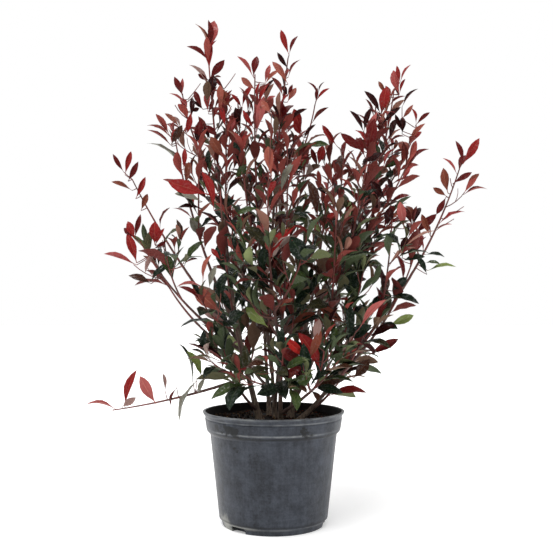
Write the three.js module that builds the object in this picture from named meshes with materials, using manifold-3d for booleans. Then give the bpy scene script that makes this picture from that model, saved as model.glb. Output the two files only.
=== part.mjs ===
// A red-leaved photinia in a round nursery pot, at its real size in millimetres, +Z up.
// The origin is the middle of the pot's flat underside, +X is to the right and -Y faces the viewer.
// Six stems stand in the compost. Each carries boughs, and each bough carries one mass of foliage.
import * as THREE from "three";
import { mergeVertices } from "three/addons/utils/BufferGeometryUtils.js";
import Module from "manifold-3d";

const wasm = await Module();
wasm.setup();

const GAP = 0.3; // clearance between neighbouring solids
const SEED = 2718;
const TURN = 2 * Math.PI;
const DEGREE = Math.PI / 180;
const GOLDEN_ANGLE = 137.5 * DEGREE; // from one bud to the next round a shoot
const NEAR = 1e-3; // points closer than this are the same

// The pot
const POT = {
  height: 223,
  wall: 2.4,
  floor: 4,
  floorInset: 6, // how far the flat floor ends inside the wall
  innerFoot: 12, // where the inner wall starts to rise straight
  footRadius: 101,
  footTopRadius: 104.5,
  footHeight: 12,
  footStep: 1.5,
  bodyFootRadius: 107.5,
  bodyTopRadius: 125.5,
  bodyTop: 179,
  collarRadius: 132.5,
  collarFoot: 186,
  neckRadius: 137,
  neckTop: 216.5,
  lipRadius: 140,
  lipStep: 3.5,
  sides: 32,
};
const NOTCH = { count: 3, first: -131 * DEGREE, width: 34, height: 10.5, depth: 20, reach: 4 };

// The compost, up to 17 mm below the pot's lip
const SOIL = { top: 206, flatRadius: 72, shoulder: 8, shoulderDrop: 2, waves: 5, waveHeight: 3, sides: 32 };

// The stems: where each foot stands, where its top ends, and the radius of its foot above the flare
const STEM_TAPER = 0.62;
const FLARE = { share: 0.5, height: 14 }; // root flare at the compost
const STEM_SHAPE = { sides: 7, steps: 5, below: 8 }; // "below" is the length trimmed off at the compost
const STEMS = {
  left: { foot: [-28, -4], top: [-78, -12, 430], radius: 5.8, bow: 3 },
  centre: { foot: [4, 12], top: [-6, 14, 436], radius: 4.0, bow: 3 },
  right: { foot: [33, 6], top: [66, 18, 408], radius: 5.4, bow: 3 },
  outer_right: { foot: [54, -10], top: [158, -14, 338], radius: 4.4, bow: 5 },
  back: { foot: [-8, 44], top: [-20, 112, 396], radius: 4.4, bow: 4 },
  front: { foot: [14, -38], top: [12, -108, 352], radius: 4.2, bow: 4 },
};

// The masses of foliage: "at" is the share of the stem where the bough leaves it, "tip" the end of
// the shoot, "bow" how far its middle hangs below the straight line, "bare" the share of it that is
// bough, and "full" how many of its buds bear a twig, from 0.5 for none to 1 for all.
const FOLIAGE = [
  { name: "top_left", stem: "left", at: 1, tip: [-132, 10, 948], bow: 4, bare: 0.24, full: 0.95,
    forks: [{ at: 0.5, tip: [-180, -14, 850] }, { at: 0.1, tip: [-92, -40, 800] }] },
  { name: "upper_left", stem: "left", at: 0.76, tip: [-188, -64, 750], bow: 16, bare: 0.42, full: 0.5,
    forks: [{ at: 0.3, tip: [-140, -100, 716] }] },
  { name: "high_left", stem: "left", at: 0.67, tip: [-284, 14, 685], bow: 12, bare: 0.56, full: 0.5 },
  { name: "middle_left", stem: "left", at: 0.6, tip: [-258, -50, 556], bow: 18, bare: 0.5, full: 0.7,
    forks: [{ at: 0.1, tip: [-206, -86, 560] }] },
  { name: "low_left", stem: "left", at: 0.52, tip: [-240, 54, 516], bow: 22, bare: 0.52, full: 0.6 },
  { name: "front_left", stem: "left", at: 0.2, tip: [-96, -150, 640], bow: 30, bare: 0.34, full: 0.8,
    forks: [{ at: 0.1, tip: [-128, -168, 440] }] },
  { name: "drooping_left", stem: "left", at: 0.38, tip: [-316, -24, 226], bow: 7, bare: 0.4, full: 0.5 },
  { name: "left_skirt", stem: "left", at: 0.08, tip: [-94, -92, 350], bow: 14, bare: 0.34, full: 1,
    forks: [{ at: 0.1, tip: [-104, 30, 372] }] },
  { name: "top_centre", stem: "centre", at: 1, tip: [29, 0, 924], bow: -8, bare: 0.2, full: 0.9,
    forks: [{ at: 0.4, tip: [84, 24, 838] }, { at: 0.1, tip: [56, 60, 720] }] },
  { name: "centre_left", stem: "centre", at: 0.4, tip: [-36, -40, 880], bow: 20, bare: 0.3, full: 1,
    forks: [{ at: 0.3, tip: [-72, 20, 846] }, { at: 0.1, tip: [-60, -84, 724] }] },
  { name: "centre_low", stem: "centre", at: 0.1, tip: [26, -84, 720], bow: 30, bare: 0.26, full: 1,
    forks: [
      { at: 0.1, tip: [80, -84, 590] },
      { at: 0.05, tip: [-20, -60, 470] },
      { at: 0.02, tip: [38, -64, 410] },
    ] },
  { name: "top_right", stem: "right", at: 1, tip: [242, 16, 862], bow: 30, bare: 0.24, full: 0.9,
    forks: [
      { at: 0.3, tip: [200, -30, 826] },
      { at: 0.4, tip: [290, 30, 790] },
      { at: 0.02, tip: [262, -40, 710] },
    ] },
  { name: "back_right", stem: "right", at: 0.82, tip: [128, 190, 784], bow: 24, bare: 0.28, full: 0.9,
    forks: [{ at: 0.2, tip: [216, 146, 690] }] },
  { name: "front_right", stem: "right", at: 0.14, tip: [176, -120, 726], bow: 26, bare: 0.34, full: 1,
    forks: [{ at: 0.15, tip: [112, -168, 600] }] },
  { name: "centre_right", stem: "right", at: 0.36, tip: [146, 66, 750], bow: 20, bare: 0.28, full: 1,
    forks: [{ at: 0.1, tip: [200, 20, 580] }] },
  { name: "far_right", stem: "outer_right", at: 1, tip: [376, 10, 716], bow: 24, bare: 0.46, full: 0.6,
    forks: [{ at: 0.2, tip: [288, 60, 604] }] },
  { name: "middle_right", stem: "outer_right", at: 0.7, tip: [272, -64, 536], bow: 20, bare: 0.34, full: 0.7,
    forks: [{ at: 0.1, tip: [220, -110, 590] }] },
  { name: "low_right", stem: "outer_right", at: 0.4, tip: [184, -60, 412], bow: 14, bare: 0.34, full: 0.9 },
  { name: "right_skirt", stem: "outer_right", at: 0.1, tip: [146, 0, 306], bow: 8, bare: 0.36, full: 1,
    forks: [{ at: 0.1, tip: [180, 76, 400] }] },
  { name: "low_front_right", stem: "front", at: 0.12, tip: [150, -140, 384], bow: 16, bare: 0.34, full: 1,
    forks: [
      { at: 0.1, tip: [90, -170, 350] },
      { at: 0.1, tip: [60, -150, 304] },
      { at: 0.2, tip: [170, -90, 500] },
    ] },
  { name: "front_centre", stem: "front", at: 1, tip: [-10, -166, 640], bow: 18, bare: 0.2, full: 1,
    forks: [{ at: 0.1, tip: [60, -186, 560] }, { at: 0.02, tip: [-40, -150, 440] }] },
  { name: "low_front", stem: "front", at: 0.5, tip: [16, -220, 350], bow: 14, bare: 0.3, full: 1,
    forks: [{ at: 0.05, tip: [-60, -184, 316] }, { at: 0.05, tip: [24, -190, 296] }] },
  { name: "back_left", stem: "back", at: 1, tip: [-130, 168, 756], bow: 20, bare: 0.24, full: 0.8,
    forks: [{ at: 0.1, tip: [-96, 200, 640] }] },
  { name: "back_centre", stem: "back", at: 0.82, tip: [10, 186, 832], bow: 26, bare: 0.26, full: 0.9,
    forks: [{ at: 0.2, tip: [70, 150, 742] }] },
  { name: "low_back_left", stem: "back", at: 0.3, tip: [-116, 204, 436], bow: 20, bare: 0.3, full: 1,
    forks: [{ at: 0.1, tip: [-56, 220, 530] }, { at: 0.02, tip: [-40, 150, 390] }] },
  { name: "low_back_right", stem: "back", at: 0.14, tip: [110, 200, 440], bow: 20, bare: 0.3, full: 1,
    forks: [{ at: 0.1, tip: [66, 226, 500] }] },
];

// The wood of a shoot: its radius where it leaves the stem grows with its length
const SHOOT = {
  footRadius: 2.9,
  radiusPerMetre: 1.4,
  tipRadius: 1.5,
  sides: 3,
  stepLength: 130,
  fewestSteps: 3,
};
const BOUGH = { sides: 5, steps: 3 };
const FORK = { spread: 0.6, bow: 12, radiusShare: 0.85 };

// How leaves and twigs stand on a shoot
const BUD = { spacing: 40, first: 18, scatter: 1.2 };
const TWIG = {
  every: 2, // buds from one twig to the next
  firstBud: 1,
  turn: 2.4,
  angle: 44 * DEGREE,
  longest: 110,
  shortest: 36,
  longShare: 1.1,
  shortShare: 0.75,
  bow: 0.06,
  radius: 1.5,
  lastRadiusShare: 0.8,
  taper: 0.75,
  tipMargin: 0.06,
  bare: 0.18,
  leafSpacing: 40,
  firstLeaf: 14,
  firstKey: 40,
};
const TIP_LEAVES = { shoot: 2, twig: 1 };
const LEAF = {
  longest: 78,
  shortest: 64,
  tipShare: 0.8,
  lowShare: 1.35,
  lowHeight: 560,
  widthShare: 0.42,
  keelShare: 0.045,
  lowShoulder: 0.32,
  highShoulder: 0.7,
  highShoulderWidth: 0.86,
  angle: 50 * DEGREE,
  tipAngle: 28 * DEGREE,
  angleSpread: [0.85, 1.15],
  pairAngle: [0.25, 0.4],
  pairSpread: 0.6,
  lift: 0.35,
  lightward: 0.6,
  sunk: 0.9,
  offAxis: 0.4,
  tipSunk: 0.8,
};
const SAMPLES = { leaf: [0.28, 0.52, 0.76, 1], twig: [0.35, 0.55, 0.75, 1] }; // shares tested for room
const TRY = { count: 5, turn: 1.3, leafShrink: 0.05, twigShrink: 0.1 }; // places tried for each
const CLEAR = { mass: 2, limb: 4, shoot: 7, pot: 3, leaf: 14 };
const PIECES = 12; // straight pieces that stand for one shoot or limb
const FRAME_STEPS = 4;

// What each draw of chance is for
const DRAW = {
  turn: 1,
  angle: 2,
  size: 3,
  twigTurn: 5,
  twigLength: 6,
  twigs: 12,
  tipAngle: 97,
  tipTurn: 98,
  tipSize: 99,
};

const UP = new THREE.Vector3(0, 0, 1);

// A repeatable number from 0 to 1 for a set of whole-number keys.
function chance(...keys) {
  let h = SEED;
  for (const key of keys) {
    h = Math.imul(h ^ (key + 1), 0x9e3779b1);
    h ^= h >>> 15;
    h = Math.imul(h, 0x85ebca6b);
    h ^= h >>> 13;
  }
  return (h >>> 0) / 2 ** 32;
}

const between = (low, high, share) => low + (high - low) * share;

// A curve between two points, whose middle hangs "bow" below and outside the straight line.
function bowed(from, to, bow) {
  const chord = to.clone().sub(from);
  const out = new THREE.Vector3(chord.x, chord.y, 0).normalize();
  const rise = chord.z / chord.length();
  const run = Math.sqrt(1 - rise * rise);
  const hang = out.multiplyScalar(rise).addScaledVector(UP, -run);
  const middle = from.clone().lerp(to, 0.5).addScaledVector(hang, 2 * bow);
  return new THREE.QuadraticBezierCurve3(from, middle, to);
}

// The direction of a bowed curve, also a little before its start and past its end.
function heading({ v0, v1, v2 }, share) {
  const early = v1.clone().sub(v0).multiplyScalar(1 - share);
  return early.addScaledVector(v2.clone().sub(v1), share).normalize();
}

// Points along a curve from share a to share b, each with a tangent and two normals that don't twist.
function frames(curve, a, b, steps) {
  const made = [];
  let side = new THREE.Vector3(0, 1, 0);
  for (let i = 0; i <= steps; i++) {
    const share = between(a, b, i / steps);
    const along = heading(curve, share);
    side = side.clone().addScaledVector(along, -side.dot(along)).normalize();
    made.push({ share, point: curve.getPoint(share), along, side, cross: side.clone().cross(along) });
  }
  return made;
}

function frameAt(curve, share) {
  return frames(curve, 0, share, FRAME_STEPS)[FRAME_STEPS];
}

// A tapering limb: a cylinder bent onto a curve.
function limb(curve, a, b, radiusAt, sides, steps) {
  const shape = new THREE.CylinderGeometry(1, 1, 1, sides, steps);
  const place = shape.getAttribute("position");
  const path = frames(curve, a, b, steps);
  for (let i = 0; i < place.count; i++) {
    const { share, point, side, cross } = path[Math.round((place.getY(i) + 0.5) * steps)];
    const radius = radiusAt(share);
    const spot = point.clone();
    spot.addScaledVector(side, place.getX(i) * radius);
    spot.addScaledVector(cross, place.getZ(i) * radius);
    place.setXYZ(i, spot.x, spot.y, spot.z);
  }
  return shape;
}

// A manifold solid from any closed three.js geometry.
function solid(geometry) {
  const bare = geometry.clone();
  bare.deleteAttribute("normal");
  bare.deleteAttribute("uv");
  const merged = mergeVertices(bare, NEAR);
  const index = merged.getIndex().array;
  const kept = [];
  for (let i = 0; i < index.length; i += 3) {
    const [a, b, c] = index.subarray(i, i + 3);
    if (a !== b && b !== c && c !== a) kept.push(a, b, c);
  }
  return new wasm.Manifold(
    new wasm.Mesh({
      numProp: 3,
      vertProperties: merged.getAttribute("position").array,
      triVerts: new Uint32Array(kept),
    }),
  );
}

// The largest body of a solid, so that scraps and sealed hollows are dropped.
function largest(made) {
  const bodies = made.decompose();
  return bodies.reduce((best, body) => (body.volume() > best.volume() ? body : best));
}

function geometryOf(made) {
  const mesh = made.getMesh();
  return new THREE.BufferGeometry()
    .setAttribute("position", new THREE.BufferAttribute(mesh.vertProperties, 3))
    .setIndex(new THREE.BufferAttribute(mesh.triVerts, 1));
}

// The pot's inner radius at a height.
function innerRadius(z) {
  const levels = [
    [0, POT.bodyFootRadius],
    [POT.bodyTop, POT.bodyTopRadius],
    [POT.collarFoot, POT.collarRadius],
    [POT.height, POT.neckRadius],
  ];
  const upper = levels.findIndex(([level]) => level >= z && level > 0);
  const [z0, r0] = levels[upper - 1];
  const [z1, r1] = levels[upper];
  return between(r0, r1, (z - z0) / (z1 - z0)) - POT.wall;
}

// A round shape from a profile of [radius, height] pairs, upright on Z.
function turned(profile, sides) {
  const shape = new THREE.LatheGeometry(profile.map(([r, z]) => new THREE.Vector2(r, z)), sides);
  return shape.rotateX(Math.PI / 2);
}

function pot() {
  const inside = [POT.height, POT.collarFoot, POT.bodyTop, POT.innerFoot];
  const profile = [
    [0, 0],
    [POT.footRadius, 0],
    [POT.footTopRadius, POT.footHeight],
    [POT.bodyFootRadius, POT.footHeight + POT.footStep],
    [POT.bodyTopRadius, POT.bodyTop],
    [POT.collarRadius, POT.collarFoot],
    [POT.neckRadius, POT.neckTop],
    [POT.lipRadius, POT.neckTop + POT.lipStep],
    [POT.lipRadius, POT.height],
    ...inside.map((z) => [innerRadius(z), z]),
    [innerRadius(POT.floor) - POT.floorInset, POT.floor],
    [0, POT.floor],
  ];
  let shell = solid(turned(profile, POT.sides));
  for (let i = 0; i < NOTCH.count; i++) {
    const cutter = new THREE.BoxGeometry(NOTCH.depth * 2, NOTCH.width, NOTCH.height * 2);
    cutter.translate(POT.footTopRadius + NOTCH.reach, 0, 0);
    cutter.rotateZ(NOTCH.first + (i * TURN) / NOTCH.count);
    shell = shell.subtract(solid(cutter));
  }
  return largest(shell);
}

function soil() {
  const fit = (z) => [innerRadius(z) - GAP, z];
  const profile = [
    [0, POT.floor + GAP],
    [innerRadius(POT.floor) - POT.floorInset - GAP, POT.floor + GAP],
    fit(POT.innerFoot + GAP),
    fit(POT.bodyTop),
    fit(POT.collarFoot),
    fit(SOIL.top - SOIL.shoulderDrop),
    [innerRadius(SOIL.top) - SOIL.shoulder, SOIL.top],
    [SOIL.flatRadius, SOIL.top],
    [0, SOIL.top],
  ];
  const shape = turned(profile, SOIL.sides);
  const place = shape.getAttribute("position");
  for (let i = 0; i < place.count; i++) {
    const radius = Math.hypot(place.getX(i), place.getY(i));
    const top = Math.abs(place.getZ(i) - SOIL.top) < NEAR && radius > SOIL.flatRadius + NEAR;
    const round = Math.atan2(place.getY(i), place.getX(i));
    if (top) place.setZ(i, SOIL.top + SOIL.waveHeight * Math.sin(SOIL.waves * round + radius));
  }
  return solid(shape);
}

// A stem from its flat cut at the compost to its top, with a root flare. "grow" thickens it for cutting.
function stem({ curve, radius }, grow = 0) {
  const length = curve.getLength();
  const radiusAt = (share) => {
    const flare = FLARE.share * Math.exp((-share * length) / FLARE.height);
    return radius * (between(1, STEM_TAPER, share) + flare) + grow;
  };
  const from = -STEM_SHAPE.below / length;
  const to = 1 + grow / length;
  const made = solid(limb(curve, from, to, radiusAt, STEM_SHAPE.sides, STEM_SHAPE.steps));
  return made.trimByPlane([0, 0, 1], SOIL.top + GAP - grow);
}

const stems = new Map();
for (const [name, { foot, top, radius, bow }] of Object.entries(STEMS)) {
  const from = new THREE.Vector3(...foot, SOIL.top + GAP);
  stems.set(name, { curve: bowed(from, new THREE.Vector3(...top), bow), radius });
}

// A shoot that tapers evenly to its tip. "start" is the share of it that is bare bough.
function shootOn(curve, start, foot) {
  const radiusAt = (share) => between(foot, SHOOT.tipRadius, share);
  return { curve, length: curve.getLength(), start, radiusAt };
}

// Each mass's shoots: first the one that carries on from its bough, then its forks.
const masses = FOLIAGE.map(({ name, stem: foot, at, tip, bow, bare, full, forks = [] }, index) => {
  const curve = bowed(stems.get(foot).curve.getPoint(at), new THREE.Vector3(...tip), bow);
  const thick = SHOOT.footRadius + (SHOOT.radiusPerMetre * curve.getLength()) / 1000;
  const leader = shootOn(curve, bare, thick);
  const shoots = [leader];
  for (const fork of forks) {
    const root = between(bare, 1, fork.at * FORK.spread);
    const branch = bowed(curve.getPoint(root), new THREE.Vector3(...fork.tip), FORK.bow);
    shoots.push(shootOn(branch, 0, leader.radiusAt(root) * FORK.radiusShare));
  }
  return { name, index, foot, full, shoots, taken: [] };
});

// Straight pieces of a shoot or a bare limb, for measuring distances.
function pieces(curve, a, b, radiusAt) {
  const points = frames(curve, a, b, PIECES);
  return points.slice(1).map((end, i) => ({
    line: new THREE.Line3(points[i].point, end.point),
    radius: radiusAt(end.share),
  }));
}

for (const mass of masses)
  mass.pieces = mass.shoots.flatMap(({ curve, start, radiusAt }) => pieces(curve, start, 1, radiusAt));
const limbs = [
  ...[...stems.values()].map(({ curve, radius }) => pieces(curve, 0, 1, () => radius)),
  ...masses.map(({ shoots: [leader] }) => pieces(leader.curve, 0, leader.start, leader.radiusAt)),
].flat();

const nearest = new THREE.Vector3();
function distance(point, piece) {
  piece.line.closestPointToPoint(point, true, nearest);
  return nearest.distanceTo(point);
}

function inPot(point) {
  const low = point.z < POT.height + CLEAR.pot;
  return low && Math.hypot(point.x, point.y) < POT.lipRadius + CLEAR.pot;
}

// A mass's own space is what lies nearer to its shoots than to any other mass's, off the limbs and pot.
function inSpace(mass, points) {
  return points.every((point) => {
    if (inPot(point)) return false;
    if (limbs.some((piece) => distance(point, piece) < piece.radius + CLEAR.limb)) return false;
    const own = Math.min(...mass.pieces.map((piece) => distance(point, piece)));
    const clear = (piece) => distance(point, piece) > own + CLEAR.mass;
    return masses.every((other) => other === mass || other.pieces.every(clear));
  });
}

// Leaves and twigs of one mass keep apart from one another and off its shoots.
function apart(mass, points) {
  return points.every((point) => mass.taken.every((other) => other.distanceTo(point) > CLEAR.leaf));
}

function offShoots(mass, points) {
  return points.every((point) => mass.pieces.every((piece) => distance(point, piece) > CLEAR.shoot));
}

// A leaf of eight faces: a flat six-cornered blade over a keel, on the line of its midrib.
function leaf(root, along, face, length) {
  const across = face.clone().cross(along);
  const half = (length * LEAF.widthShare) / 2;
  const spot = (x, y, z) => {
    const made = root.clone().addScaledVector(along, x * length);
    return made.addScaledVector(across, y * half).addScaledVector(face, z * length);
  };
  const corners = [
    spot(0, 0, 0),
    spot(LEAF.lowShoulder, -1, LEAF.keelShare),
    spot(LEAF.highShoulder, -LEAF.highShoulderWidth, LEAF.keelShare),
    spot(1, 0, 0),
    spot(LEAF.highShoulder, LEAF.highShoulderWidth, LEAF.keelShare),
    spot(LEAF.lowShoulder, 1, LEAF.keelShare),
  ];
  const faces = [0, 1, 5, 1, 4, 5, 1, 2, 4, 2, 3, 4, 0, 3, 1, 1, 3, 2, 0, 5, 3, 5, 4, 3];
  const shape = new THREE.BufferGeometry().setFromPoints(corners).setIndex(faces);
  const samples = SAMPLES.leaf.flatMap((x) => {
    const wide = x === 1 ? 0 : LEAF.highShoulderWidth;
    return [spot(x, -wide, 0), spot(x, 0, 0), spot(x, wide, 0)];
  });
  return { shape, samples };
}

// The direction away from a shoot at a turn round it.
function outward(frame, turn) {
  return frame.side.clone().multiplyScalar(Math.cos(turn)).addScaledVector(frame.cross, Math.sin(turn));
}

// A leaf at a bud, turned a little towards the light, its root sunk just under the shoot's flat face.
function leafAt(frame, radius, turn, angle, length) {
  const out = outward(frame, turn);
  const faceTurn = TURN / SHOOT.sides;
  const fromFace = ((((turn - TURN / 4) % faceTurn) + faceTurn) % faceTurn) - faceTurn / 2;
  const depth = Math.max(LEAF.offAxis, radius / 2 / Math.cos(fromFace) - LEAF.sunk);
  const along = frame.along.clone().multiplyScalar(Math.cos(angle)).addScaledVector(out, Math.sin(angle));
  along.addScaledVector(UP, LEAF.lift * Math.sin(angle)).normalize();
  const face = frame.along.clone().addScaledVector(UP, LEAF.lightward);
  face.addScaledVector(along, -face.dot(along)).normalize();
  return leaf(frame.point.clone().addScaledVector(out, depth), along, face, length);
}

// The leaves of one shoot or twig: one or two at its tip, then one at each bud.
// Where a leaf has no room it's made smaller and tried further round.
function leavesOn(mass, keys, { curve, length, start, radiusAt }, spacing, firstBud, tipLeaves) {
  const made = [];
  const tipFrame = frameAt(curve, 1 - LEAF.tipSunk / length);
  const fit = (share, turn, angle, size, free) => {
    const frame = share < 1 ? frameAt(curve, share) : tipFrame;
    for (let i = 0; i < TRY.count; i++) {
      const small = 1 - TRY.leafShrink * i;
      const round = turn + TRY.turn * i;
      const { shape, samples } = leafAt(frame, radiusAt(share), round, angle * small, size * small);
      if (!inSpace(mass, samples) || !free(samples)) continue;
      mass.taken.push(...samples);
      made.push(shape);
      return;
    }
  };
  const tipTurn = chance(...keys, DRAW.tipTurn) * TURN;
  for (let k = 0; k < tipLeaves; k++) {
    const size = between(LEAF.shortest, LEAF.longest, chance(...keys, DRAW.tipSize, k)) * LEAF.tipShare;
    const angle = between(...LEAF.pairAngle, chance(...keys, DRAW.tipAngle, k));
    fit(1, tipTurn + k * Math.PI, angle * (tipLeaves - LEAF.pairSpread), size, () => true);
  }
  const leafy = length * (1 - start);
  const count = Math.max(1, Math.floor((leafy - firstBud) / spacing));
  for (let bud = 0; bud < count; bud++) {
    const share = start + ((firstBud + bud * spacing) / leafy) * (1 - start);
    const turn = bud * GOLDEN_ANGLE + chance(...keys, bud, DRAW.turn) * BUD.scatter;
    const spread = between(...LEAF.angleSpread, chance(...keys, bud, DRAW.angle));
    const angle = between(LEAF.angle, LEAF.tipAngle, share) * spread;
    const large = curve.getPoint(share).z < LEAF.lowHeight ? LEAF.lowShare : 1;
    const size = between(LEAF.longest, LEAF.shortest, chance(...keys, bud, DRAW.size)) * large;
    fit(share, turn, angle, size, (samples) => apart(mass, samples) && offShoots(mass, samples));
  }
  return made;
}

// One side twig that leaves a shoot at a frame, in the first turn round it that has room.
function twigAt(mass, frame, turn, longest, radius) {
  for (let k = 0; k < TRY.count; k++) {
    const out = outward(frame, turn + TRY.turn * k);
    const aim = frame.along.clone().multiplyScalar(Math.cos(TWIG.angle));
    aim.addScaledVector(out, Math.sin(TWIG.angle)).normalize();
    const reach = longest * (1 - TRY.twigShrink * k);
    const curve = bowed(frame.point, frame.point.clone().addScaledVector(aim, reach), reach * TWIG.bow);
    const samples = SAMPLES.twig.map((share) => curve.getPoint(share));
    if (!inSpace(mass, samples) || !apart(mass, samples) || !offShoots(mass, samples)) continue;
    const radiusAt = (share) => radius * between(1, TWIG.taper, share);
    return { curve, length: reach, start: TWIG.bare, radiusAt, samples };
  }
  return null;
}

// The side twigs of one shoot, with their leaves.
function twigsOn(mass, key, shoot) {
  const made = [];
  const leafy = shoot.length * (1 - shoot.start);
  const count = Math.floor((leafy * (1 - TWIG.tipMargin)) / (BUD.spacing * TWIG.every));
  const twigShare = 2 * mass.full - 1;
  for (let i = 0; i < count; i++) {
    const keys = [mass.index, key, i];
    if (chance(...keys, DRAW.twigs) > twigShare) continue;
    const along = (BUD.first + (i * TWIG.every + TWIG.firstBud) * BUD.spacing) / leafy;
    const frame = frameAt(shoot.curve, shoot.start + along * (1 - shoot.start));
    const scatter = between(TWIG.shortShare, TWIG.longShare, chance(...keys, DRAW.twigLength));
    const longest = between(TWIG.longest, TWIG.shortest, along) * scatter;
    const turn = i * TWIG.turn + chance(...keys, DRAW.twigTurn) * TURN;
    const radius = TWIG.radius * between(1, TWIG.lastRadiusShare, along);
    const twig = twigAt(mass, frame, turn, longest, radius);
    if (!twig) continue;
    made.push(limb(twig.curve, 0, 1, twig.radiusAt, SHOOT.sides, 1));
    const leafKeys = [mass.index, key, TWIG.firstKey + i];
    made.push(...leavesOn(mass, leafKeys, twig, TWIG.leafSpacing, TWIG.firstLeaf, TIP_LEAVES.twig));
    mass.taken.push(...twig.samples);
  }
  return made;
}

// One mass of foliage: its shoots, side twigs and leaves fused into one body.
function foliage(mass) {
  const shapes = [];
  mass.shoots.forEach((shoot, key) => {
    const from = key ? 0 : shoot.start + GAP / shoot.length;
    const steps = Math.round((shoot.length * (1 - from)) / SHOOT.stepLength);
    const wood = limb(shoot.curve, from, 1, shoot.radiusAt, SHOOT.sides, Math.max(SHOOT.fewestSteps, steps));
    shapes.push(wood);
    shapes.push(...leavesOn(mass, [mass.index, key], shoot, BUD.spacing, BUD.first, TIP_LEAVES.shoot));
    shapes.push(...twigsOn(mass, key, shoot));
  });
  return largest(wasm.Manifold.union(shapes.map(solid)));
}

// A bough from its stem to where its mass begins, coped round the stem with a fine gap.
function bough(mass) {
  const [leader] = mass.shoots;
  const made = solid(limb(leader.curve, 0, leader.start, leader.radiusAt, BOUGH.sides, BOUGH.steps));
  return largest(made.subtract(stem(stems.get(mass.foot), GAP)));
}

const FINISHES = {
  pot: new THREE.MeshStandardMaterial({ color: 0x464b52, roughness: 0.5, metalness: 0 }),
  soil: new THREE.MeshStandardMaterial({ color: 0x2b221b, roughness: 1, metalness: 0 }),
  bark: new THREE.MeshStandardMaterial({ color: 0x54423a, roughness: 0.85, metalness: 0 }),
  shoot_bark: new THREE.MeshStandardMaterial({ color: 0x5c2f2a, roughness: 0.7, metalness: 0 }),
  red_foliage: new THREE.MeshStandardMaterial({ color: 0x74302e, roughness: 0.45, metalness: 0 }),
  green_foliage: new THREE.MeshStandardMaterial({ color: 0x34473a, roughness: 0.45, metalness: 0 }),
};
const RED_FROM = 600; // masses whose shoot ends above this height are red

const plant = new THREE.Group();
function add(name, made, finish) {
  const mesh = new THREE.Mesh(geometryOf(made), FINISHES[finish]);
  mesh.name = name;
  plant.add(mesh);
}

add("pot", pot(), "pot");
add("soil", soil(), "soil");
for (const [name, made] of stems) add(`stem_${name}`, stem(made), "bark");
for (const mass of masses) {
  add(`bough_${mass.name}`, bough(mass), "shoot_bark");
  const high = mass.shoots[0].curve.getPoint(1).z > RED_FROM;
  add(`foliage_${mass.name}`, foliage(mass), high ? "red_foliage" : "green_foliage");
}

export default plant;
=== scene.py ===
# %% [markdown]
# A potted red-leaved photinia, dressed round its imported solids.
# The real plant is a young shrub about a metre high, in the round pot that it was raised in.
# Six woody stems leave the compost, and each carries boughs that end in leafy shoots.
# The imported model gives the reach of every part, and this script gives the looks:
# bark with relief, fine twigs, thin folded leaves from scarlet to dark green, a scuffed plastic
# pot, and crumbly compost.

import math

import bmesh
import bpy
import numpy as np
from mathutils import Euler, Matrix, Vector, noise


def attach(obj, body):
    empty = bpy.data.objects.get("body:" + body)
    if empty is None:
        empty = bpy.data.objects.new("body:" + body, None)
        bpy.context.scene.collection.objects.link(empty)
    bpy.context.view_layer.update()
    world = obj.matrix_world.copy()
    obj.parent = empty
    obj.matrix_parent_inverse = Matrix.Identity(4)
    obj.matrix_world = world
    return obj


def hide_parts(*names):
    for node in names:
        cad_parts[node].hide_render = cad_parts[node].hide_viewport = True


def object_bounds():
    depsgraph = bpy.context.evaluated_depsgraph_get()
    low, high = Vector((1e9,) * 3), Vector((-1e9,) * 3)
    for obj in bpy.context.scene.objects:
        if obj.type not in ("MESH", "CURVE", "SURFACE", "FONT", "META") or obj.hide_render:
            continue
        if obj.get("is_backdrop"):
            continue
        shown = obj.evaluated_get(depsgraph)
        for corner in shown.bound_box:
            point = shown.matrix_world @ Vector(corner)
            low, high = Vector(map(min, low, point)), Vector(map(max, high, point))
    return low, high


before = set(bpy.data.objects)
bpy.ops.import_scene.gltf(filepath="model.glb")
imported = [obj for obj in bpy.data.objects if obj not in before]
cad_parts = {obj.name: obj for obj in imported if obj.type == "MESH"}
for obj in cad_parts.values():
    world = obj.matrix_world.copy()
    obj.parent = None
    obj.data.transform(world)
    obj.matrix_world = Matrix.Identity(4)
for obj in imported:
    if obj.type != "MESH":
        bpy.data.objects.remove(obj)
CAD_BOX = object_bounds()
print("CAD nodes:", len(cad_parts))

# %% [markdown]
# The camera comes first, because every later choice is judged through it.
# The photograph looks almost level at the middle of the plant, from a step and a half away.
# Its uprights stay parallel though its horizon lies just under the middle of the picture, so the
# camera stays level, and the lens is shifted by about a twentieth of the frame.

# %% Camera
PHOTO_SIDE = 553  # pixels
FOCAL_PIXELS = 810
HORIZON_ROW = 302.6  # where eye level lies in the photograph
POT_AXIS_COLUMN = 273.5  # where the pot's axis stands in it
EYE = Vector((0, -1.613, 0.437))
SENSOR_WIDTH = 36  # millimetres

camera_data = bpy.data.cameras.new("camera")
camera_data.sensor_width = SENSOR_WIDTH
camera_data.lens = FOCAL_PIXELS / PHOTO_SIDE * SENSOR_WIDTH
camera_data.clip_start = 0.05
camera_data.clip_end = 60
camera = bpy.data.objects.new("camera", camera_data)
camera.location = EYE
camera.rotation_euler = (math.pi / 2, 0, 0)
camera_data.shift_x = (PHOTO_SIDE / 2 - POT_AXIS_COLUMN) / PHOTO_SIDE
camera_data.shift_y = (HORIZON_ROW - PHOTO_SIDE / 2) / PHOTO_SIDE
bpy.context.scene.collection.objects.link(camera)
bpy.context.scene.camera = camera
print("lens:", round(camera_data.lens, 2), "mm")

# %% [markdown]
# A wide pale floor and a pale studio all round, brightest overhead and behind the plant.
# The camera sees the studio as even white, while the light that it gives is softer from the front,
# so that the round pot keeps its bright edges and the crown its depth.
# Two soft suns light the plant from above: wide angles keep their shadows soft, and a sun never
# shows in a picture as a lamp can.

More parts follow.
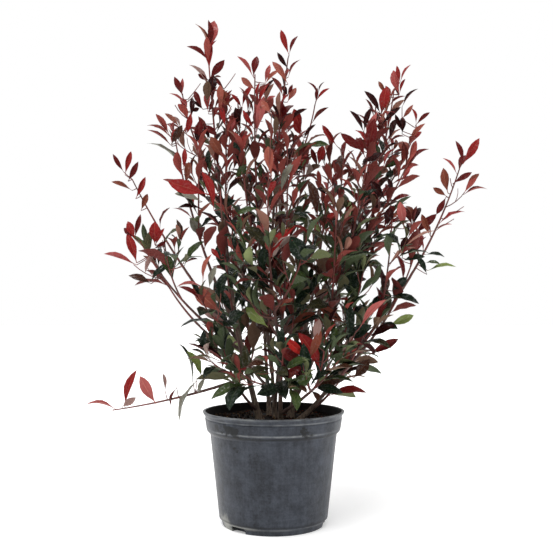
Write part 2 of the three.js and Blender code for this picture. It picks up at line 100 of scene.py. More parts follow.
# %% Studio
FRONT_LIGHT = 0.16
BACK_LIGHT = 0.95
LIGHT_RANGE = {"From Min": -1, "From Max": 0.6, "To Min": FRONT_LIGHT, "To Max": BACK_LIGHT}
bpy.context.scene.view_settings.view_transform = "Standard"

world = bpy.data.worlds.new("studio")
bpy.context.scene.world = world
world.use_nodes = True
sky_nodes, sky_links = world.node_tree.nodes, world.node_tree.links
where = sky_nodes.new("ShaderNodeTexCoord")
depth = sky_nodes.new("ShaderNodeSeparateXYZ")
sky_links.new(where.outputs["Generated"], depth.inputs[0])
light = sky_nodes.new("ShaderNodeMapRange")
sky_links.new(depth.outputs["Y"], light.inputs["Value"])
for name, value in LIGHT_RANGE.items():
    light.inputs[name].default_value = value
path = sky_nodes.new("ShaderNodeLightPath")
brightness = sky_nodes.new("ShaderNodeMath")
brightness.operation = "MAXIMUM"
sky_links.new(path.outputs["Is Camera Ray"], brightness.inputs[0])
sky_links.new(light.outputs["Result"], brightness.inputs[1])
sky_links.new(brightness.outputs[0], sky_nodes["Background"].inputs["Strength"])
sky_nodes["Background"].inputs["Color"].default_value = (1, 1, 1, 1)


def sun(name, strength, spread, tilt, turn):
    """A soft sun: spread is its angular size, tilt its angle from overhead, turn its side."""
    data = bpy.data.lights.new(name, "SUN")
    data.energy = strength
    data.angle = math.radians(spread)
    lamp = bpy.data.objects.new(name, data)
    lamp.rotation_euler = (math.radians(tilt), 0, math.radians(turn))
    bpy.context.scene.collection.objects.link(lamp)


sun("key", strength=2.6, spread=36, tilt=26, turn=-26)
sun("fill", strength=0.4, spread=70, tilt=58, turn=48)
print("suns:", ", ".join(light.name for light in bpy.data.lights))


# %% [markdown]
# Every finish is written with two helpers.
# `Value` wraps a socket, so that a sum of patterns reads as a sum in Python.
# `Finish` makes the material, adds any other node in one call, and holds its shader.
# Colours are given as they look in a picture, and made linear, as the shader wants them.

# %% A value in a sum
class Value:
    """A socket that takes part in sums: each operator adds a Math node."""

    def __init__(self, finish, socket):
        self.finish = finish
        self.socket = socket

    def _math(self, operation, first, second):
        node = self.finish.add("ShaderNodeMath", {"operation": operation}, {0: first, 1: second})
        return Value(self.finish, node.outputs[0])

    def __add__(self, other):
        return self._math("ADD", self, other)

    def __radd__(self, other):
        return self._math("ADD", other, self)

    def __sub__(self, other):
        return self._math("SUBTRACT", self, other)

    def __rsub__(self, other):
        return self._math("SUBTRACT", other, self)

    def __mul__(self, other):
        return self._math("MULTIPLY", self, other)

    def __rmul__(self, other):
        return self._math("MULTIPLY", other, self)

    def ramp(self, low, high):
        """0 below low, 1 above high, smooth between."""
        settings = {"interpolation_type": "SMOOTHSTEP"}
        values = {"Value": self, "From Min": low, "From Max": high}
        node = self.finish.add("ShaderNodeMapRange", settings, values)
        return Value(self.finish, node.outputs["Result"])


# %% Colours
def linear(red, green, blue):
    """A linear colour from the 0 to 255 values of a picture."""
    parts = [part / 255 for part in (red, green, blue)]
    made = [part / 12.92 if part < 0.04045 else ((part + 0.055) / 1.055) ** 2.4 for part in parts]
    return (*made, 1.0)


print("a picture's 128 of 255 as light:", round(linear(128, 128, 128)[0], 3))


# %% A finish
class Finish:
    """One material, and the ways that nodes are added to it."""

    def __init__(self, name, colour, roughness, **constants):
        self.material = bpy.data.materials.new(name)
        self.material.use_nodes = True
        self.tree = self.material.node_tree
        self.shader = self.tree.nodes["Principled BSDF"]
        self.set(**{"Base Color": colour, "Roughness": roughness, **constants})

    def add(self, kind, settings=None, values=None):
        """A node of any kind: its settings are set first, then its sockets."""
        node = self.tree.nodes.new(kind)
        for name, setting in (settings or {}).items():
            setattr(node, name, setting)
        for name, value in (values or {}).items():
            self.put(node.inputs[name], value)
        return node

    def put(self, socket, value):
        if isinstance(value, Value):
            self.tree.links.new(value.socket, socket)
        elif isinstance(value, bpy.types.NodeSocket):
            self.tree.links.new(value, socket)
        else:
            socket.default_value = value

    def set(self, **values):
        for name, value in values.items():
            self.put(self.shader.inputs[name], value)

    def colour(self, value):
        self.set(**{"Base Color": value})

    def place(self, scale=(1, 1, 1)):
        """Object coordinates, stretched by scale."""
        where = self.add("ShaderNodeTexCoord")
        values = {"Vector": where.outputs["Object"], "Scale": scale}
        return self.add("ShaderNodeMapping", None, values).outputs["Vector"]

    def noise(self, where, scale, detail=4.0, roughness=0.55):
        values = {"Vector": where, "Scale": scale, "Detail": detail, "Roughness": roughness}
        return Value(self, self.add("ShaderNodeTexNoise", None, values).outputs[0])

    def vector_math(self, operation, values):
        return self.add("ShaderNodeVectorMath", {"operation": operation}, values)

    def mix(self, share, first, second):
        """A colour from first to second by share."""
        node = self.add("ShaderNodeMix", {"data_type": "RGBA"})
        for slot, value in ((0, share), (6, first), (7, second)):
            self.put(node.inputs[slot], value)
        return node.outputs[2]

    def relief(self, height, distance, strength=1.0):
        """Bump from a height pattern: distance is its depth in metres."""
        values = {"Height": height, "Distance": distance, "Strength": strength}
        bump = self.add("ShaderNodeBump", None, values)
        self.set(Normal=bump.outputs["Normal"])


# %% From a mesh to an object
def show(mesh, *finishes):
    """Makes an object of a mesh, with its finishes."""
    made = bpy.data.objects.new(mesh.name, mesh)
    for finish in finishes:
        mesh.materials.append(finish.material)
    bpy.context.scene.collection.objects.link(made)
    return made


CREASE = 35  # degrees


def smooth(mesh, crease=CREASE):
    """Shades a mesh smooth. Edges that are sharper than the crease angle stay sharp."""
    mesh.shade_smooth()
    mesh.set_sharp_from_angle(angle=math.radians(crease))


def mesh_from(bm, name, crease=CREASE):
    """Closes a bmesh into a smooth mesh."""
    mesh = bpy.data.meshes.new(name)
    bm.to_mesh(mesh)
    bm.free()
    smooth(mesh, crease)
    return mesh


# %% [markdown]
# The floor is one wide disc. It glows a little, so that the shadow on it stays as faint as on lit
# studio paper.

# %% Floor
FLOOR_RADIUS = 14
FLOOR_GLOW = {"Emission Color": (1, 1, 1, 1), "Emission Strength": 0.3}
floor_finish = Finish("floor_paper", linear(246, 246, 246), 0.9, **FLOOR_GLOW)
bm = bmesh.new()
bmesh.ops.create_circle(bm, cap_ends=True, segments=96, radius=FLOOR_RADIUS)
floor = show(mesh_from(bm, "floor"), floor_finish)
floor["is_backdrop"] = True
print("floor radius:", FLOOR_RADIUS, "m")

# %% [markdown]
# The pot is thin moulded plastic, blown round and then carried about for years.
# It could be turned as a smooth vase, but its look lies in its steps: a lip that stands proud,
# a tapered collar over the body, and a foot ring with three drainage notches.
# So one wall profile is spun round the axis, its corner rings are bevelled, and the wall is put a
# hair out of round, as thin plastic is.

# %% Pot profile
MM = 0.001  # the sizes below are in millimetres, as in the part's source
POT_HEIGHT = 223
POT_WALL = 2.4
FOOT = {"radius": 101, "top_radius": 104.5, "height": 12}
BODY = {"foot_radius": 107.5, "top_radius": 125.5, "foot": 13.5, "top": 179}
COLLAR = {"foot_radius": 132.5, "foot": 186, "top_radius": 137, "top": 216.5}
LIP = {"radius": 140, "foot": 220, "inner_step": 2.6}
GROOVE = {"height": 211, "radius": 135.9, "depth": 0.9, "width": 2.2}  # the fine step under the lip
POT_FLOOR = 4
FLOOR_STEP = 6  # how far the floor's edge lies inside the wall

pot_outside = [
    (0, 0),
    (FOOT["radius"], 0),
    (FOOT["top_radius"], FOOT["height"]),
    (BODY["foot_radius"], BODY["foot"]),
    (BODY["top_radius"], BODY["top"]),
    (COLLAR["foot_radius"], COLLAR["foot"]),
    (GROOVE["radius"], GROOVE["height"] - GROOVE["width"]),
    (GROOVE["radius"] - GROOVE["depth"], GROOVE["height"]),
    (COLLAR["top_radius"], COLLAR["top"]),
    (LIP["radius"], LIP["foot"]),
    (LIP["radius"], POT_HEIGHT),
]
pot_inside = [
    (LIP["radius"] - POT_WALL - LIP["inner_step"], POT_HEIGHT),
    (COLLAR["top_radius"] - POT_WALL, COLLAR["top"]),
    (COLLAR["foot_radius"] - POT_WALL, COLLAR["foot"]),
    (BODY["top_radius"] - POT_WALL, BODY["top"]),
    (BODY["foot_radius"] - POT_WALL, BODY["foot"]),
    (BODY["foot_radius"] - POT_WALL - FLOOR_STEP, POT_FLOOR),
    (0, POT_FLOOR),
]
print("corners of the profile, outside and inside:", len(pot_outside), len(pot_inside))

# %% Spinning the wall
POT_STEPS = 128
COLLAR_ROUNDING = {"offset": 2.6, "segments": 4}
EDGE_ROUNDING = {"offset": 0.45, "segments": 2}
OUT_OF_ROUND = 0.35  # millimetres
SWAYS = ((1, 2, 1.1), (0.6, 3, 2.0))  # the strength, lobes and phase of each wave round the pot


def spin_profile(profile, steps):
    """A closed round shell from (radius, height) pairs in millimetres."""
    bm = bmesh.new()
    start = bm.verts.new((profile[0][0] * MM, 0, profile[0][1] * MM))
    last = start
    for radius, height in profile[1:]:
        made = bmesh.ops.extrude_vert_indiv(bm, verts=[last])
        last = made["verts"][0]
        last.co = Vector((radius * MM, 0, height * MM))
    bmesh.ops.spin(
        bm,
        geom=bm.verts[:] + bm.edges[:],
        axis=(0, 0, 1),
        cent=(0, 0, 0),
        angle=2 * math.pi,
        steps=steps,
        use_merge=True,
    )
    bmesh.ops.remove_doubles(bm, verts=bm.verts[:], dist=1e-6)
    bmesh.ops.recalc_face_normals(bm, faces=bm.faces[:])
    return bm


def rings(bm, corners):
    """The edges of the rings at the given (radius, height) corners of a spun shell."""
    found = []
    for edge in bm.edges:
        a, b = edge.verts
        level = abs(a.co.z - b.co.z) < 1e-6
        radius = math.hypot(a.co.x, a.co.y)
        for corner_radius, height in corners:
            here = abs(radius - corner_radius * MM) < 1e-5 and abs(a.co.z - height * MM) < 1e-5
            if level and here:
                found.append(edge)
    return found


def bevel(bm, edges, offset, segments, clamp=False):
    bmesh.ops.bevel(
        bm,
        geom=edges,
        offset=offset,
        offset_type="OFFSET",
        segments=segments,
        profile=0.5,
        affect="EDGES",
        material=-1,
        clamp_overlap=clamp,
    )


def round_rings(bm, corners, offset, segments):
    bevel(bm, rings(bm, corners), offset * MM, segments, clamp=True)


bm = spin_profile(pot_outside + pot_inside, POT_STEPS)
collar_foot = (COLLAR["foot_radius"], COLLAR["foot"])
round_rings(bm, [collar_foot], **COLLAR_ROUNDING)
sharper = [corner for corner in pot_outside[1:] if corner != collar_foot]
round_rings(bm, sharper + pot_inside[:-1], **EDGE_ROUNDING)
for vertex in bm.verts:
    turn = math.atan2(vertex.co.y, vertex.co.x)
    height = vertex.co.z / (POT_HEIGHT * MM)
    sway = sum(strength * math.sin(lobes * turn + phase) for strength, lobes, phase in SWAYS)
    reach = math.hypot(vertex.co.x, vertex.co.y)
    if reach > 1e-6:
        scale = 1 + OUT_OF_ROUND * MM * sway * height / reach
        vertex.co.x *= scale
        vertex.co.y *= scale
pot_mesh = mesh_from(bm, "nursery_pot")
print("pot faces:", len(pot_mesh.polygons))

# %% [markdown]
# Water leaves a pot like this through notches low in its wall. They could be modelled in the
# profile's grid, but then its faces would have to follow them. A cutter is simpler: a rounded
# block for each notch, taken out of the wall by an exact Boolean.

# %% Drainage notches
NOTCH = {"count": 3, "first": math.radians(-131), "width": 34, "height": 10.5, "depth": 20}
NOTCH_ROUNDING = {"offset": 3, "segments": 3}
NOTCH_PLACE = 4  # how far outside the foot's top edge a notch has its middle


def notch_cutter():
    """Three rounded blocks that stand across the foot ring."""
    bm = bmesh.new()
    for i in range(NOTCH["count"]):
        before = set(bm.verts)
        block = bmesh.ops.create_cube(bm, size=1)["verts"]
        size = (NOTCH["depth"] * 2 * MM, NOTCH["width"] * MM, NOTCH["height"] * 2 * MM)
        bmesh.ops.scale(bm, vec=size, verts=block)
        edges = list({edge for vertex in block for edge in vertex.link_edges})
        bevel(bm, edges, NOTCH_ROUNDING["offset"] * MM, NOTCH_ROUNDING["segments"])
        whole = [vertex for vertex in bm.verts if vertex not in before]
        bmesh.ops.translate(bm, vec=((FOOT["top_radius"] + NOTCH_PLACE) * MM, 0, 0), verts=whole)
        turn = Matrix.Rotation(NOTCH["first"] + i * 2 * math.pi / NOTCH["count"], 3, "Z")
        bmesh.ops.rotate(bm, cent=(0, 0, 0), matrix=turn, verts=whole)
    return mesh_from(bm, "notch_cutter")


def applied(made):
    """The object's mesh with its modifiers applied."""
    graph = bpy.context.evaluated_depsgraph_get()
    mesh = bpy.data.meshes.new_from_object(made.evaluated_get(graph))
    mesh.name = made.name
    made.modifiers.clear()
    made.data = mesh
    return made


cutter = show(notch_cutter())
pot = show(pot_mesh)
cut = pot.modifiers.new("notches", "BOOLEAN")
cut.operation = "DIFFERENCE"
cut.solver = "EXACT"
cut.object = cutter
applied(pot)
bpy.data.objects.remove(cutter)
smooth(pot.data)
print("pot faces after the notches:", len(pot.data.polygons))

# %% [markdown]
# The plastic is dark slate grey with a soft gloss.
# What makes it read as a used pot is dirt: pale dust that rain has drawn into upright streaks,
# worn marks round the lip where stacked pots rub, and a few wet blots on the collar.
# Light and shade are painted on it too: broken pale highlight lines along the lip, the groove, the
# collar's foot and the foot's top edge, a pale painted highlight on the lit front left of the foot,
# and a dark line of painted shade under the collar and another above the foot.

# %% Patterns on the plastic
plastic = Finish("worn_plastic_with_painted_light", linear(44, 49, 57), 0.45, **{"Specular IOR Level": 0.28})
where = plastic.place()
STREAKS = (26, 26, 2.4)  # noise stretched along Z: narrow round the pot, long down it
RUNS = (95, 95, 7)  # the same for the fine marks that water leaves
LEVEL_MARKS = (9, 9, 150)  # and stretched round the pot, as stacked pots rub each other
LINE_BREAKS = (30, 30, 90)  # where a painted highlight line is broken


def marks(stretch, low, high, detail=4.0, roughness=0.6):
    """A mask of noise that is stretched along the axes."""
    return plastic.noise(plastic.place(stretch), 1.0, detail, roughness).ramp(low, high)


streaks = marks(STREAKS, 0.4, 0.7, detail=5.0)
runs = marks(RUNS, 0.4, 0.72, roughness=0.7)
level_marks = marks(LEVEL_MARKS, 0.45, 0.7)
line_breaks = marks(LINE_BREAKS, 0.4, 0.65, detail=3.0, roughness=0.55)
clouds = plastic.noise(where, 24.0, detail=6.0, roughness=0.75).ramp(0.38, 0.64)
grain = plastic.noise(where, 240.0, detail=3.0, roughness=0.7).ramp(0.32, 0.68)
fine = plastic.noise(where, 160.0, detail=4.0, roughness=0.65)
height = Value(plastic, plastic.add("ShaderNodeSeparateXYZ", None, {0: where}).outputs["Z"])


print("nodes of the patterns:", len(plastic.tree.nodes))


# %% Marks at a place
def band(height, middle, half):
    """1 at a height in millimetres, fading to 0 half a width away."""
    low, middle, high = (middle - half) * MM, middle * MM, (middle + half) * MM
    return height.ramp(low, middle) * (1 - height.ramp(middle, high))


def torn(scale, amount):
    """Places pushed about by noise, so that a mark round one of them gets a ragged edge."""
    push = plastic.add("ShaderNodeTexNoise", None, {"Vector": where, "Scale": scale, "Detail": 5.0})
    centred = plastic.vector_math("SUBTRACT", {0: push.outputs["Color"], 1: (0.5, 0.5, 0.5)})
    pushed = plastic.vector_math("SCALE", {0: centred.outputs[0], "Scale": amount * MM})
    return plastic.vector_math("ADD", {0: where, 1: pushed.outputs[0]}).outputs[0]


ragged = torn(scale=90.0, amount=34)


def blot(x, y, z, radius, softness=0.45):
    """1 near a place in millimetres, fading to 0 at a radius."""
    node = plastic.vector_math("DISTANCE", {0: ragged, 1: (x * MM, y * MM, z * MM)})
    away = Value(plastic, node.outputs["Value"])
    return 1 - away.ramp((1 - softness) * radius * MM, radius * MM)


# %% Wear, dirt, and painted highlights and shade
WET_MARKS = (  # x, y, z and radius of each, in millimetres
    (-84, -103, 199, 12),
    (-72, -111, 194, 13),
    (-108, -82, 201, 10),
    (-97, -94, 193, 7),
    (62, -120, 193, 12),
    (54, -124, 200, 8),
    (-71, -102, 163, 6),
)
# a painted highlight: a pale patch and a pale band on the lit front left of the foot
FOOT_HIGHLIGHT = {"x": -93, "y": -51, "z": 9, "radius": 28, "softness": 0.7}
FOOT_EDGE_HIGHLIGHT = {"x": -66, "y": -82, "z": 12, "radius": 50, "softness": 0.6}  # the lit top edge of the foot, where a band of painted highlight lies
# painted highlights: broken pale lines along the lip's top, the groove, the collar's foot and the foot's
# top edge, where light catches those edges
edge_highlights = (
    band(height, POT_HEIGHT - 1, 3)
    + band(height, GROOVE["height"] + 1, 2.5) * 0.7
    + band(height, COLLAR["foot"] + 4.5, 3) * 1.2
    + band(height, FOOT["height"], 4) * 0.7
) * (0.25 + line_breaks)
lip_wear = height.ramp((GROOVE["height"] - 3) * MM, (POT_HEIGHT - 4) * MM) * level_marks
# painted shade: a dark line under the collar's step and another above the foot's step
painted_shade_lines = band(height, COLLAR["foot"] - 1.5, 4.5) + band(height, BODY["foot"] + 3, 3.5) * 0.7
wet = sum(blot(*mark) for mark in WET_MARKS)
# painted highlight on the foot's lit front left
foot_highlights = blot(**FOOT_HIGHLIGHT) + band(height, FOOT["height"], 5) * blot(**FOOT_EDGE_HIGHLIGHT) * 0.7
wear = streaks * 0.2 + runs * 0.22 + clouds * 0.42 + grain * 0.2 + level_marks * 0.12
dust = plastic.mix(wear, linear(12, 16, 24), linear(68, 73, 83))
# the pale colour paints the highlight lines, and the worn marks round the lip
highlighted_and_worn = plastic.mix(edge_highlights * 0.5 + lip_wear * 0.3, dust, linear(140, 143, 144))
with_foot_highlight = plastic.mix(foot_highlights * 0.8, highlighted_and_worn, linear(150, 150, 143))
# the near-black colour paints the wet blots, and the painted shade lines
plastic.colour(plastic.mix(wet * 0.9 + painted_shade_lines * 0.8, with_foot_highlight, linear(10, 12, 14)))
plastic.set(Roughness=0.3 + fine * 0.14 + streaks * 0.16)
plastic.relief(fine * 0.3 + clouds, 0.0006, 0.35)
print("wet marks:", len(WET_MARKS))

# %% [markdown]
# Inside, the faces of the wall that turn to the axis get a duller, darker and browner plastic of
# their own, mottled by noise.

# %% The darker inside
inner_wall = Finish("inner_wall_plastic", linear(26, 24, 23), 0.7, **{"Specular IOR Level": 0.15})
inner_mottle = inner_wall.noise(inner_wall.place(), 60.0, detail=4.0)
inner_wall.colour(inner_wall.mix(inner_mottle.ramp(0.35, 0.7), linear(11, 9, 8), linear(28, 23, 20)))
inner_wall.relief(inner_mottle, 0.0006, 0.4)
pot.data.materials.append(plastic.material)
pot.data.materials.append(inner_wall.material)
INWARD = -0.5  # how far a face turns to the axis before it counts as the inside of the wall
for face in pot.data.polygons:
    middle, normal = face.center, face.normal
    reach = math.hypot(middle.x, middle.y)
    outward_share = (normal.x * middle.x + normal.y * middle.y) / reach if reach else 0
    if outward_share < INWARD and middle.z > POT_FLOOR * MM:
        face.material_index = 1
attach(pot, "root")
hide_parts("pot")
print("stained faces:", sum(face.material_index for face in pot.data.polygons))

# %% [markdown]
# The compost fills the pot to a finger's width under the lip.
# A flat disc would look poured, so a ringed disc is lifted by noise into small mounds, and
# hundreds of crumbs and bark chips lie on it.
# One crumb is a low ball knocked out of shape. It is stamped many times over into one mesh.

# %% Compost bed
SOIL = {"top": 206, "rings": 34, "steps": 96, "depth": 30, "gap": 0.4}
MOUNDS = {"height": 3.2, "width": 38}
CLODS = {"height": 2.6, "width": 9, "sunk": 0.1}


def pot_inner_radius(height):
    """The pot's inner radius at a height, in millimetres."""
    levels = [
        (0, BODY["foot_radius"]),
        (BODY["top"], BODY["top_radius"]),
        (COLLAR["foot"], COLLAR["foot_radius"]),
        (POT_HEIGHT, COLLAR["top_radius"]),
    ]
    return float(np.interp(height, *zip(*levels))) - POT_WALL


def soil_height(x, y):
    """The compost's height at a place, all in millimetres."""
    spot = Vector((x, y, 0))
    mounds = MOUNDS["height"] * noise.noise(spot / MOUNDS["width"])
    rough = noise.fractal(spot / CLODS["width"], 0.8, 2.0, 4)
    clods = CLODS["height"] * (rough - CLODS["sunk"])
    return SOIL["top"] + mounds + clods


soil_radius = pot_inner_radius(SOIL["top"]) - SOIL["gap"]
bm = bmesh.new()
bmesh.ops.create_circle(bm, cap_ends=True, segments=SOIL["steps"], radius=soil_radius * MM)
top = list(bm.faces)
for ring in range(SOIL["rings"]):
    step = soil_radius / (SOIL["rings"] + 1) * MM
    bmesh.ops.inset_region(bm, faces=top, thickness=step, use_even_offset=True)
bmesh.ops.poke(bm, faces=top)
for vertex in bm.verts:
    x, y = vertex.co.x / MM, vertex.co.y / MM
    vertex.co.z = soil_height(x, y) * MM
edge_ring = [edge for edge in bm.edges if edge.is_boundary]
sides = bmesh.ops.extrude_edge_only(bm, edges=edge_ring)["geom"]
lowered = [part for part in sides if isinstance(part, bmesh.types.BMVert)]
foot_share = (pot_inner_radius(SOIL["top"] - SOIL["depth"]) - SOIL["gap"]) / soil_radius
for vertex in lowered:
    vertex.co.x *= foot_share
    vertex.co.y *= foot_share
    vertex.co.z = (SOIL["top"] - SOIL["depth"]) * MM
bmesh.ops.holes_fill(bm, edges=[edge for edge in bm.edges if edge.is_boundary])
bmesh.ops.recalc_face_normals(bm, faces=bm.faces[:])
compost = show(mesh_from(bm, "compost", crease=60))
print("compost faces:", len(compost.data.polygons))

# %% [markdown]
# Chance has to be repeatable, and each leaf has to keep its own draws when another one goes.
# So a draw isn't the next number of a row: it's mixed from whole-number keys that name the thing.

# %% Chance
SEED = 2718
WORD = 0xFFFFFFFF


def chance(*keys):
    """A repeatable number from 0 to 1 for a set of whole-number keys, as in the part's source."""
    mixed = SEED
    for key in keys:
        mixed = ((mixed ^ (key + 1)) * 0x9E3779B1) & WORD
        mixed ^= mixed >> 15
        mixed = (mixed * 0x85EBCA6B) & WORD
        mixed ^= mixed >> 13
    return mixed / (WORD + 1)


def between(low, high, share):
    return low + (high - low) * share


print("one draw:", round(chance(1, 2, 3), 4))


# %% [markdown]
# A stamp is a small mesh read once into arrays. Copies of it are then placed by array sums and
# joined into one mesh, which is far quicker than an object for each leaf or crumb.

# %% Stamps
class Stamp:
    """A small mesh as arrays: its vertices, its faces, their material numbers, and its far end."""

    def __init__(self, bm):
        bm.verts.index_update()
        self.points = np.array([vertex.co[:] for vertex in bm.verts])
        self.faces = [[vertex.index for vertex in face.verts] for face in bm.faces]
        self.corners = np.array([corner for face in self.faces for corner in face])
        self.sizes = np.array([len(face) for face in self.faces])
        self.kinds = np.array([face.material_index for face in bm.faces])
        self.tip = self.points[self.points[:, 1].argmax()]
        bm.free()


def joined(name, copies, crease=60):
    """One mesh from (stamp, 3 by 3 matrix, place, material numbers by kind) copies."""
    points, corners, sizes, kinds = [], [], [], []
    first = 0
    for stamp, turn, place, numbers in copies:
        points.append(stamp.points @ np.asarray(turn).T + place)
        corners.append(stamp.corners + first)
        sizes.append(stamp.sizes)
        kinds.append(np.asarray(numbers)[stamp.kinds])
        first += len(stamp.points)
    points, corners = np.concatenate(points), np.concatenate(corners)
    sizes, kinds = np.concatenate(sizes), np.concatenate(kinds)
    mesh = bpy.data.meshes.new(name)
    mesh.vertices.add(len(points))
    mesh.vertices.foreach_set("co", points.astype(np.float32).ravel())
    mesh.loops.add(len(corners))
    mesh.loops.foreach_set("vertex_index", corners.astype(np.int32))
    mesh.polygons.add(len(sizes))
    starts = np.concatenate([[0], np.cumsum(sizes)[:-1]])
    mesh.polygons.foreach_set("loop_start", starts.astype(np.int32))
    mesh.polygons.foreach_set("material_index", kinds.astype(np.int32))
    mesh.update(calc_edges=True)
    mesh.validate()
    smooth(mesh, crease)
    return mesh


def turned(tilt, lean, spin, size):
    """A rotation matrix from three angles, times a size on each axis."""
    return np.array(Euler((tilt, lean, spin)).to_matrix()) * np.asarray(size)


# %% [markdown]
# A crumb is a ball of twenty faces with its corners knocked in or out, and a chip is a split bit
# of bark. Four crumbs and one chip are enough, because each copy is turned and sized by chance.

# %% Crumbs and chips
CRUMBS = {"count": 900, "smallest": 1.2, "largest": 4.2, "lift": 0.1}
CHIPS = {"count": 110, "shortest": 5, "longest": 13, "lift": 0.8, "tilt": 0.5}
CHIP_SHAPE = (1, 0.42, 0.16)
BED_MARGIN = 3  # how far from the wall the crumbs lie


def crumb_stamp(key):
    bm = bmesh.new()
    bmesh.ops.create_icosphere(bm, subdivisions=1, radius=1)
    for vertex in bm.verts:
        vertex.co *= between(0.7, 1.15, chance(key, vertex.index))
    return Stamp(bm)


def chip_stamp():
    """A split bit of bark: a flat block with its edges taken off."""
    bm = bmesh.new()
    bmesh.ops.create_cube(bm, size=1)
    bmesh.ops.scale(bm, vec=CHIP_SHAPE, verts=bm.verts[:])
    bevel(bm, bm.edges[:], offset=0.05, segments=1)
    for vertex in bm.verts:
        vertex.co.z += 0.1 * vertex.co.x * vertex.co.x
        vertex.co.y *= 1 - 0.5 * abs(vertex.co.x)
    return Stamp(bm)


def scattered(count, key):
    """Places over the compost, even by area, as (number, x, y) in millimetres."""
    for i in range(count):
        reach = (soil_radius - BED_MARGIN) * math.sqrt(chance(key, i, 1))
        turn = chance(key, i, 2) * 2 * math.pi
        yield i, reach * math.cos(turn), reach * math.sin(turn)


def on_soil(stamp, key, i, x, y, size, lift, tilt):
    """A copy that lies on the compost, tilted by up to tilt and turned any way, in one of three tints."""
    angles = [chance(key, i, part) * most for part, most in ((3, tilt), (4, tilt), (5, 2 * math.pi))]
    place = np.array([x, y, soil_height(x, y) + lift]) * MM
    return stamp, turned(*angles, np.array([size] * 3) * MM), place, [int(chance(key, i, 7) * 3)]


crumb_stamps = [crumb_stamp(key) for key in range(4)]
chip = chip_stamp()
crumbs = []
for i, x, y in scattered(CRUMBS["count"], 7):
    size = between(CRUMBS["smallest"], CRUMBS["largest"], chance(7, i, 6) ** 3)
    crumbs.append(on_soil(crumb_stamps[i % 4], 7, i, x, y, size, CRUMBS["lift"] * size, 2 * math.pi))
chips = []
for i, x, y in scattered(CHIPS["count"], 8):
    size = between(CHIPS["shortest"], CHIPS["longest"], chance(8, i, 6))
    chips.append(on_soil(chip, 8, i, x, y, size, CHIPS["lift"], CHIPS["tilt"]))

# %% [markdown]
# Moist peat is nearly black and dull, with paler clods and a soft sheen only where it's wet.
# Its bits differ in tint rather than in pattern, so each kind has three plain finishes.

# %% Compost finish
DULL = {"Specular IOR Level": 0.12}
peat = Finish("peat", linear(30, 24, 20), 0.95, **DULL)
where = peat.place()
clods = peat.noise(where, 120.0, detail=6.0, roughness=0.7)
wet = peat.noise(where, 22.0, detail=3.0).ramp(0.4, 0.65)
peat.colour(peat.mix(clods.ramp(0.35, 0.7) * 0.8, linear(11, 8, 7), linear(38, 26, 19)))
peat.set(Roughness=0.98 - wet * 0.2)
peat.relief(clods, 0.004, 0.9)


CRUMB_TINTS = {"dark_crumb": (18, 12, 9), "brown_crumb": (42, 26, 18), "grey_crumb": (58, 45, 34)}
CHIP_TINTS = {"red_chip": (88, 40, 26), "dark_chip": (44, 27, 20), "straw_chip": (104, 80, 52)}


def crumb_finish(name, tint):
    made = Finish(name, linear(*tint), 0.9, **DULL)
    grain = made.noise(made.place(), 400.0, detail=3.0)
    made.relief(grain, 0.001, 0.6)
    return made


crumb_finishes = [crumb_finish(name, tint) for name, tint in CRUMB_TINTS.items()]
chip_finishes = [crumb_finish(name, tint) for name, tint in CHIP_TINTS.items()]
compost.data.materials.append(peat.material)
crumb_bed = show(joined("compost_crumbs", crumbs, crease=30), *crumb_finishes)
chip_bed = show(joined("bark_chips", chips, crease=30), *chip_finishes)
for piece in (compost, crumb_bed, chip_bed):
    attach(piece, "root")
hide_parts("soil")
print("crumbs and chips:", len(crumbs), len(chips))

# %% [markdown]
# Stems, boughs and shoots follow one rule, the same as in the part's source.
# Each is a bowed line between two named points, and it thins evenly towards its tip.
# The lists below are the source's own sizes in millimetres, so every limb is where its solid is.

# %% Named limbs
TURN = 2 * math.pi
UP = np.array([0.0, 0.0, 1.0])
GAP = 0.3
STEM_TAPER = 0.62
FLARE = {"share": 0.5, "height": 14}
STEMS = {
    "left": {"foot": (-28, -4), "top": (-78, -12, 430), "radius": 5.8, "bow": 3},
    "centre": {"foot": (4, 12), "top": (-6, 14, 436), "radius": 4.0, "bow": 3},
    "right": {"foot": (33, 6), "top": (66, 18, 408), "radius": 5.4, "bow": 3},
    "outer_right": {"foot": (54, -10), "top": (158, -14, 338), "radius": 4.4, "bow": 5},
    "back": {"foot": (-8, 44), "top": (-20, 112, 396), "radius": 4.4, "bow": 4},
    "front": {"foot": (14, -38), "top": (12, -108, 352), "radius": 4.2, "bow": 4},
}
print("stems:", len(STEMS))

# %% Boughs and masses of the left stem
masses = []


def grown(name, stem, at, tip, bow, bare, full, forks=()):
    """One mass of foliage. at is the share of its stem where its bough leaves, bare the share of
    the shoot that is bough, full the share of its buds that bear a leaf, and forks its side
    shoots, each by how far out it leaves and where its tip is."""
    made = {"name": name, "index": len(masses), "stem": stem, "at": at, "tip": tip}
    masses.append({**made, "bow": bow, "bare": bare, "full": full, "forks": forks})


grown("top_left", "left", 1, (-132, 10, 948), 4, 0.24, 0.95, [
    (0.5, (-180, -14, 850)),
    (0.1, (-92, -40, 800)),
])
grown("upper_left", "left", 0.76, (-188, -64, 750), 16, 0.42, 0.5, [(0.3, (-140, -100, 716))])
grown("high_left", "left", 0.67, (-284, 14, 685), 12, 0.56, 0.5)
grown("middle_left", "left", 0.6, (-258, -50, 556), 18, 0.5, 0.7, [(0.1, (-206, -86, 560))])
grown("low_left", "left", 0.52, (-240, 54, 516), 22, 0.52, 0.6)
grown("front_left", "left", 0.2, (-96, -150, 640), 30, 0.34, 0.8, [(0.1, (-128, -168, 440))])
grown("drooping_left", "left", 0.38, (-316, -24, 226), 7, 0.4, 0.5)
grown("left_skirt", "left", 0.08, (-94, -92, 350), 14, 0.34, 1, [(0.1, (-104, 30, 372))])

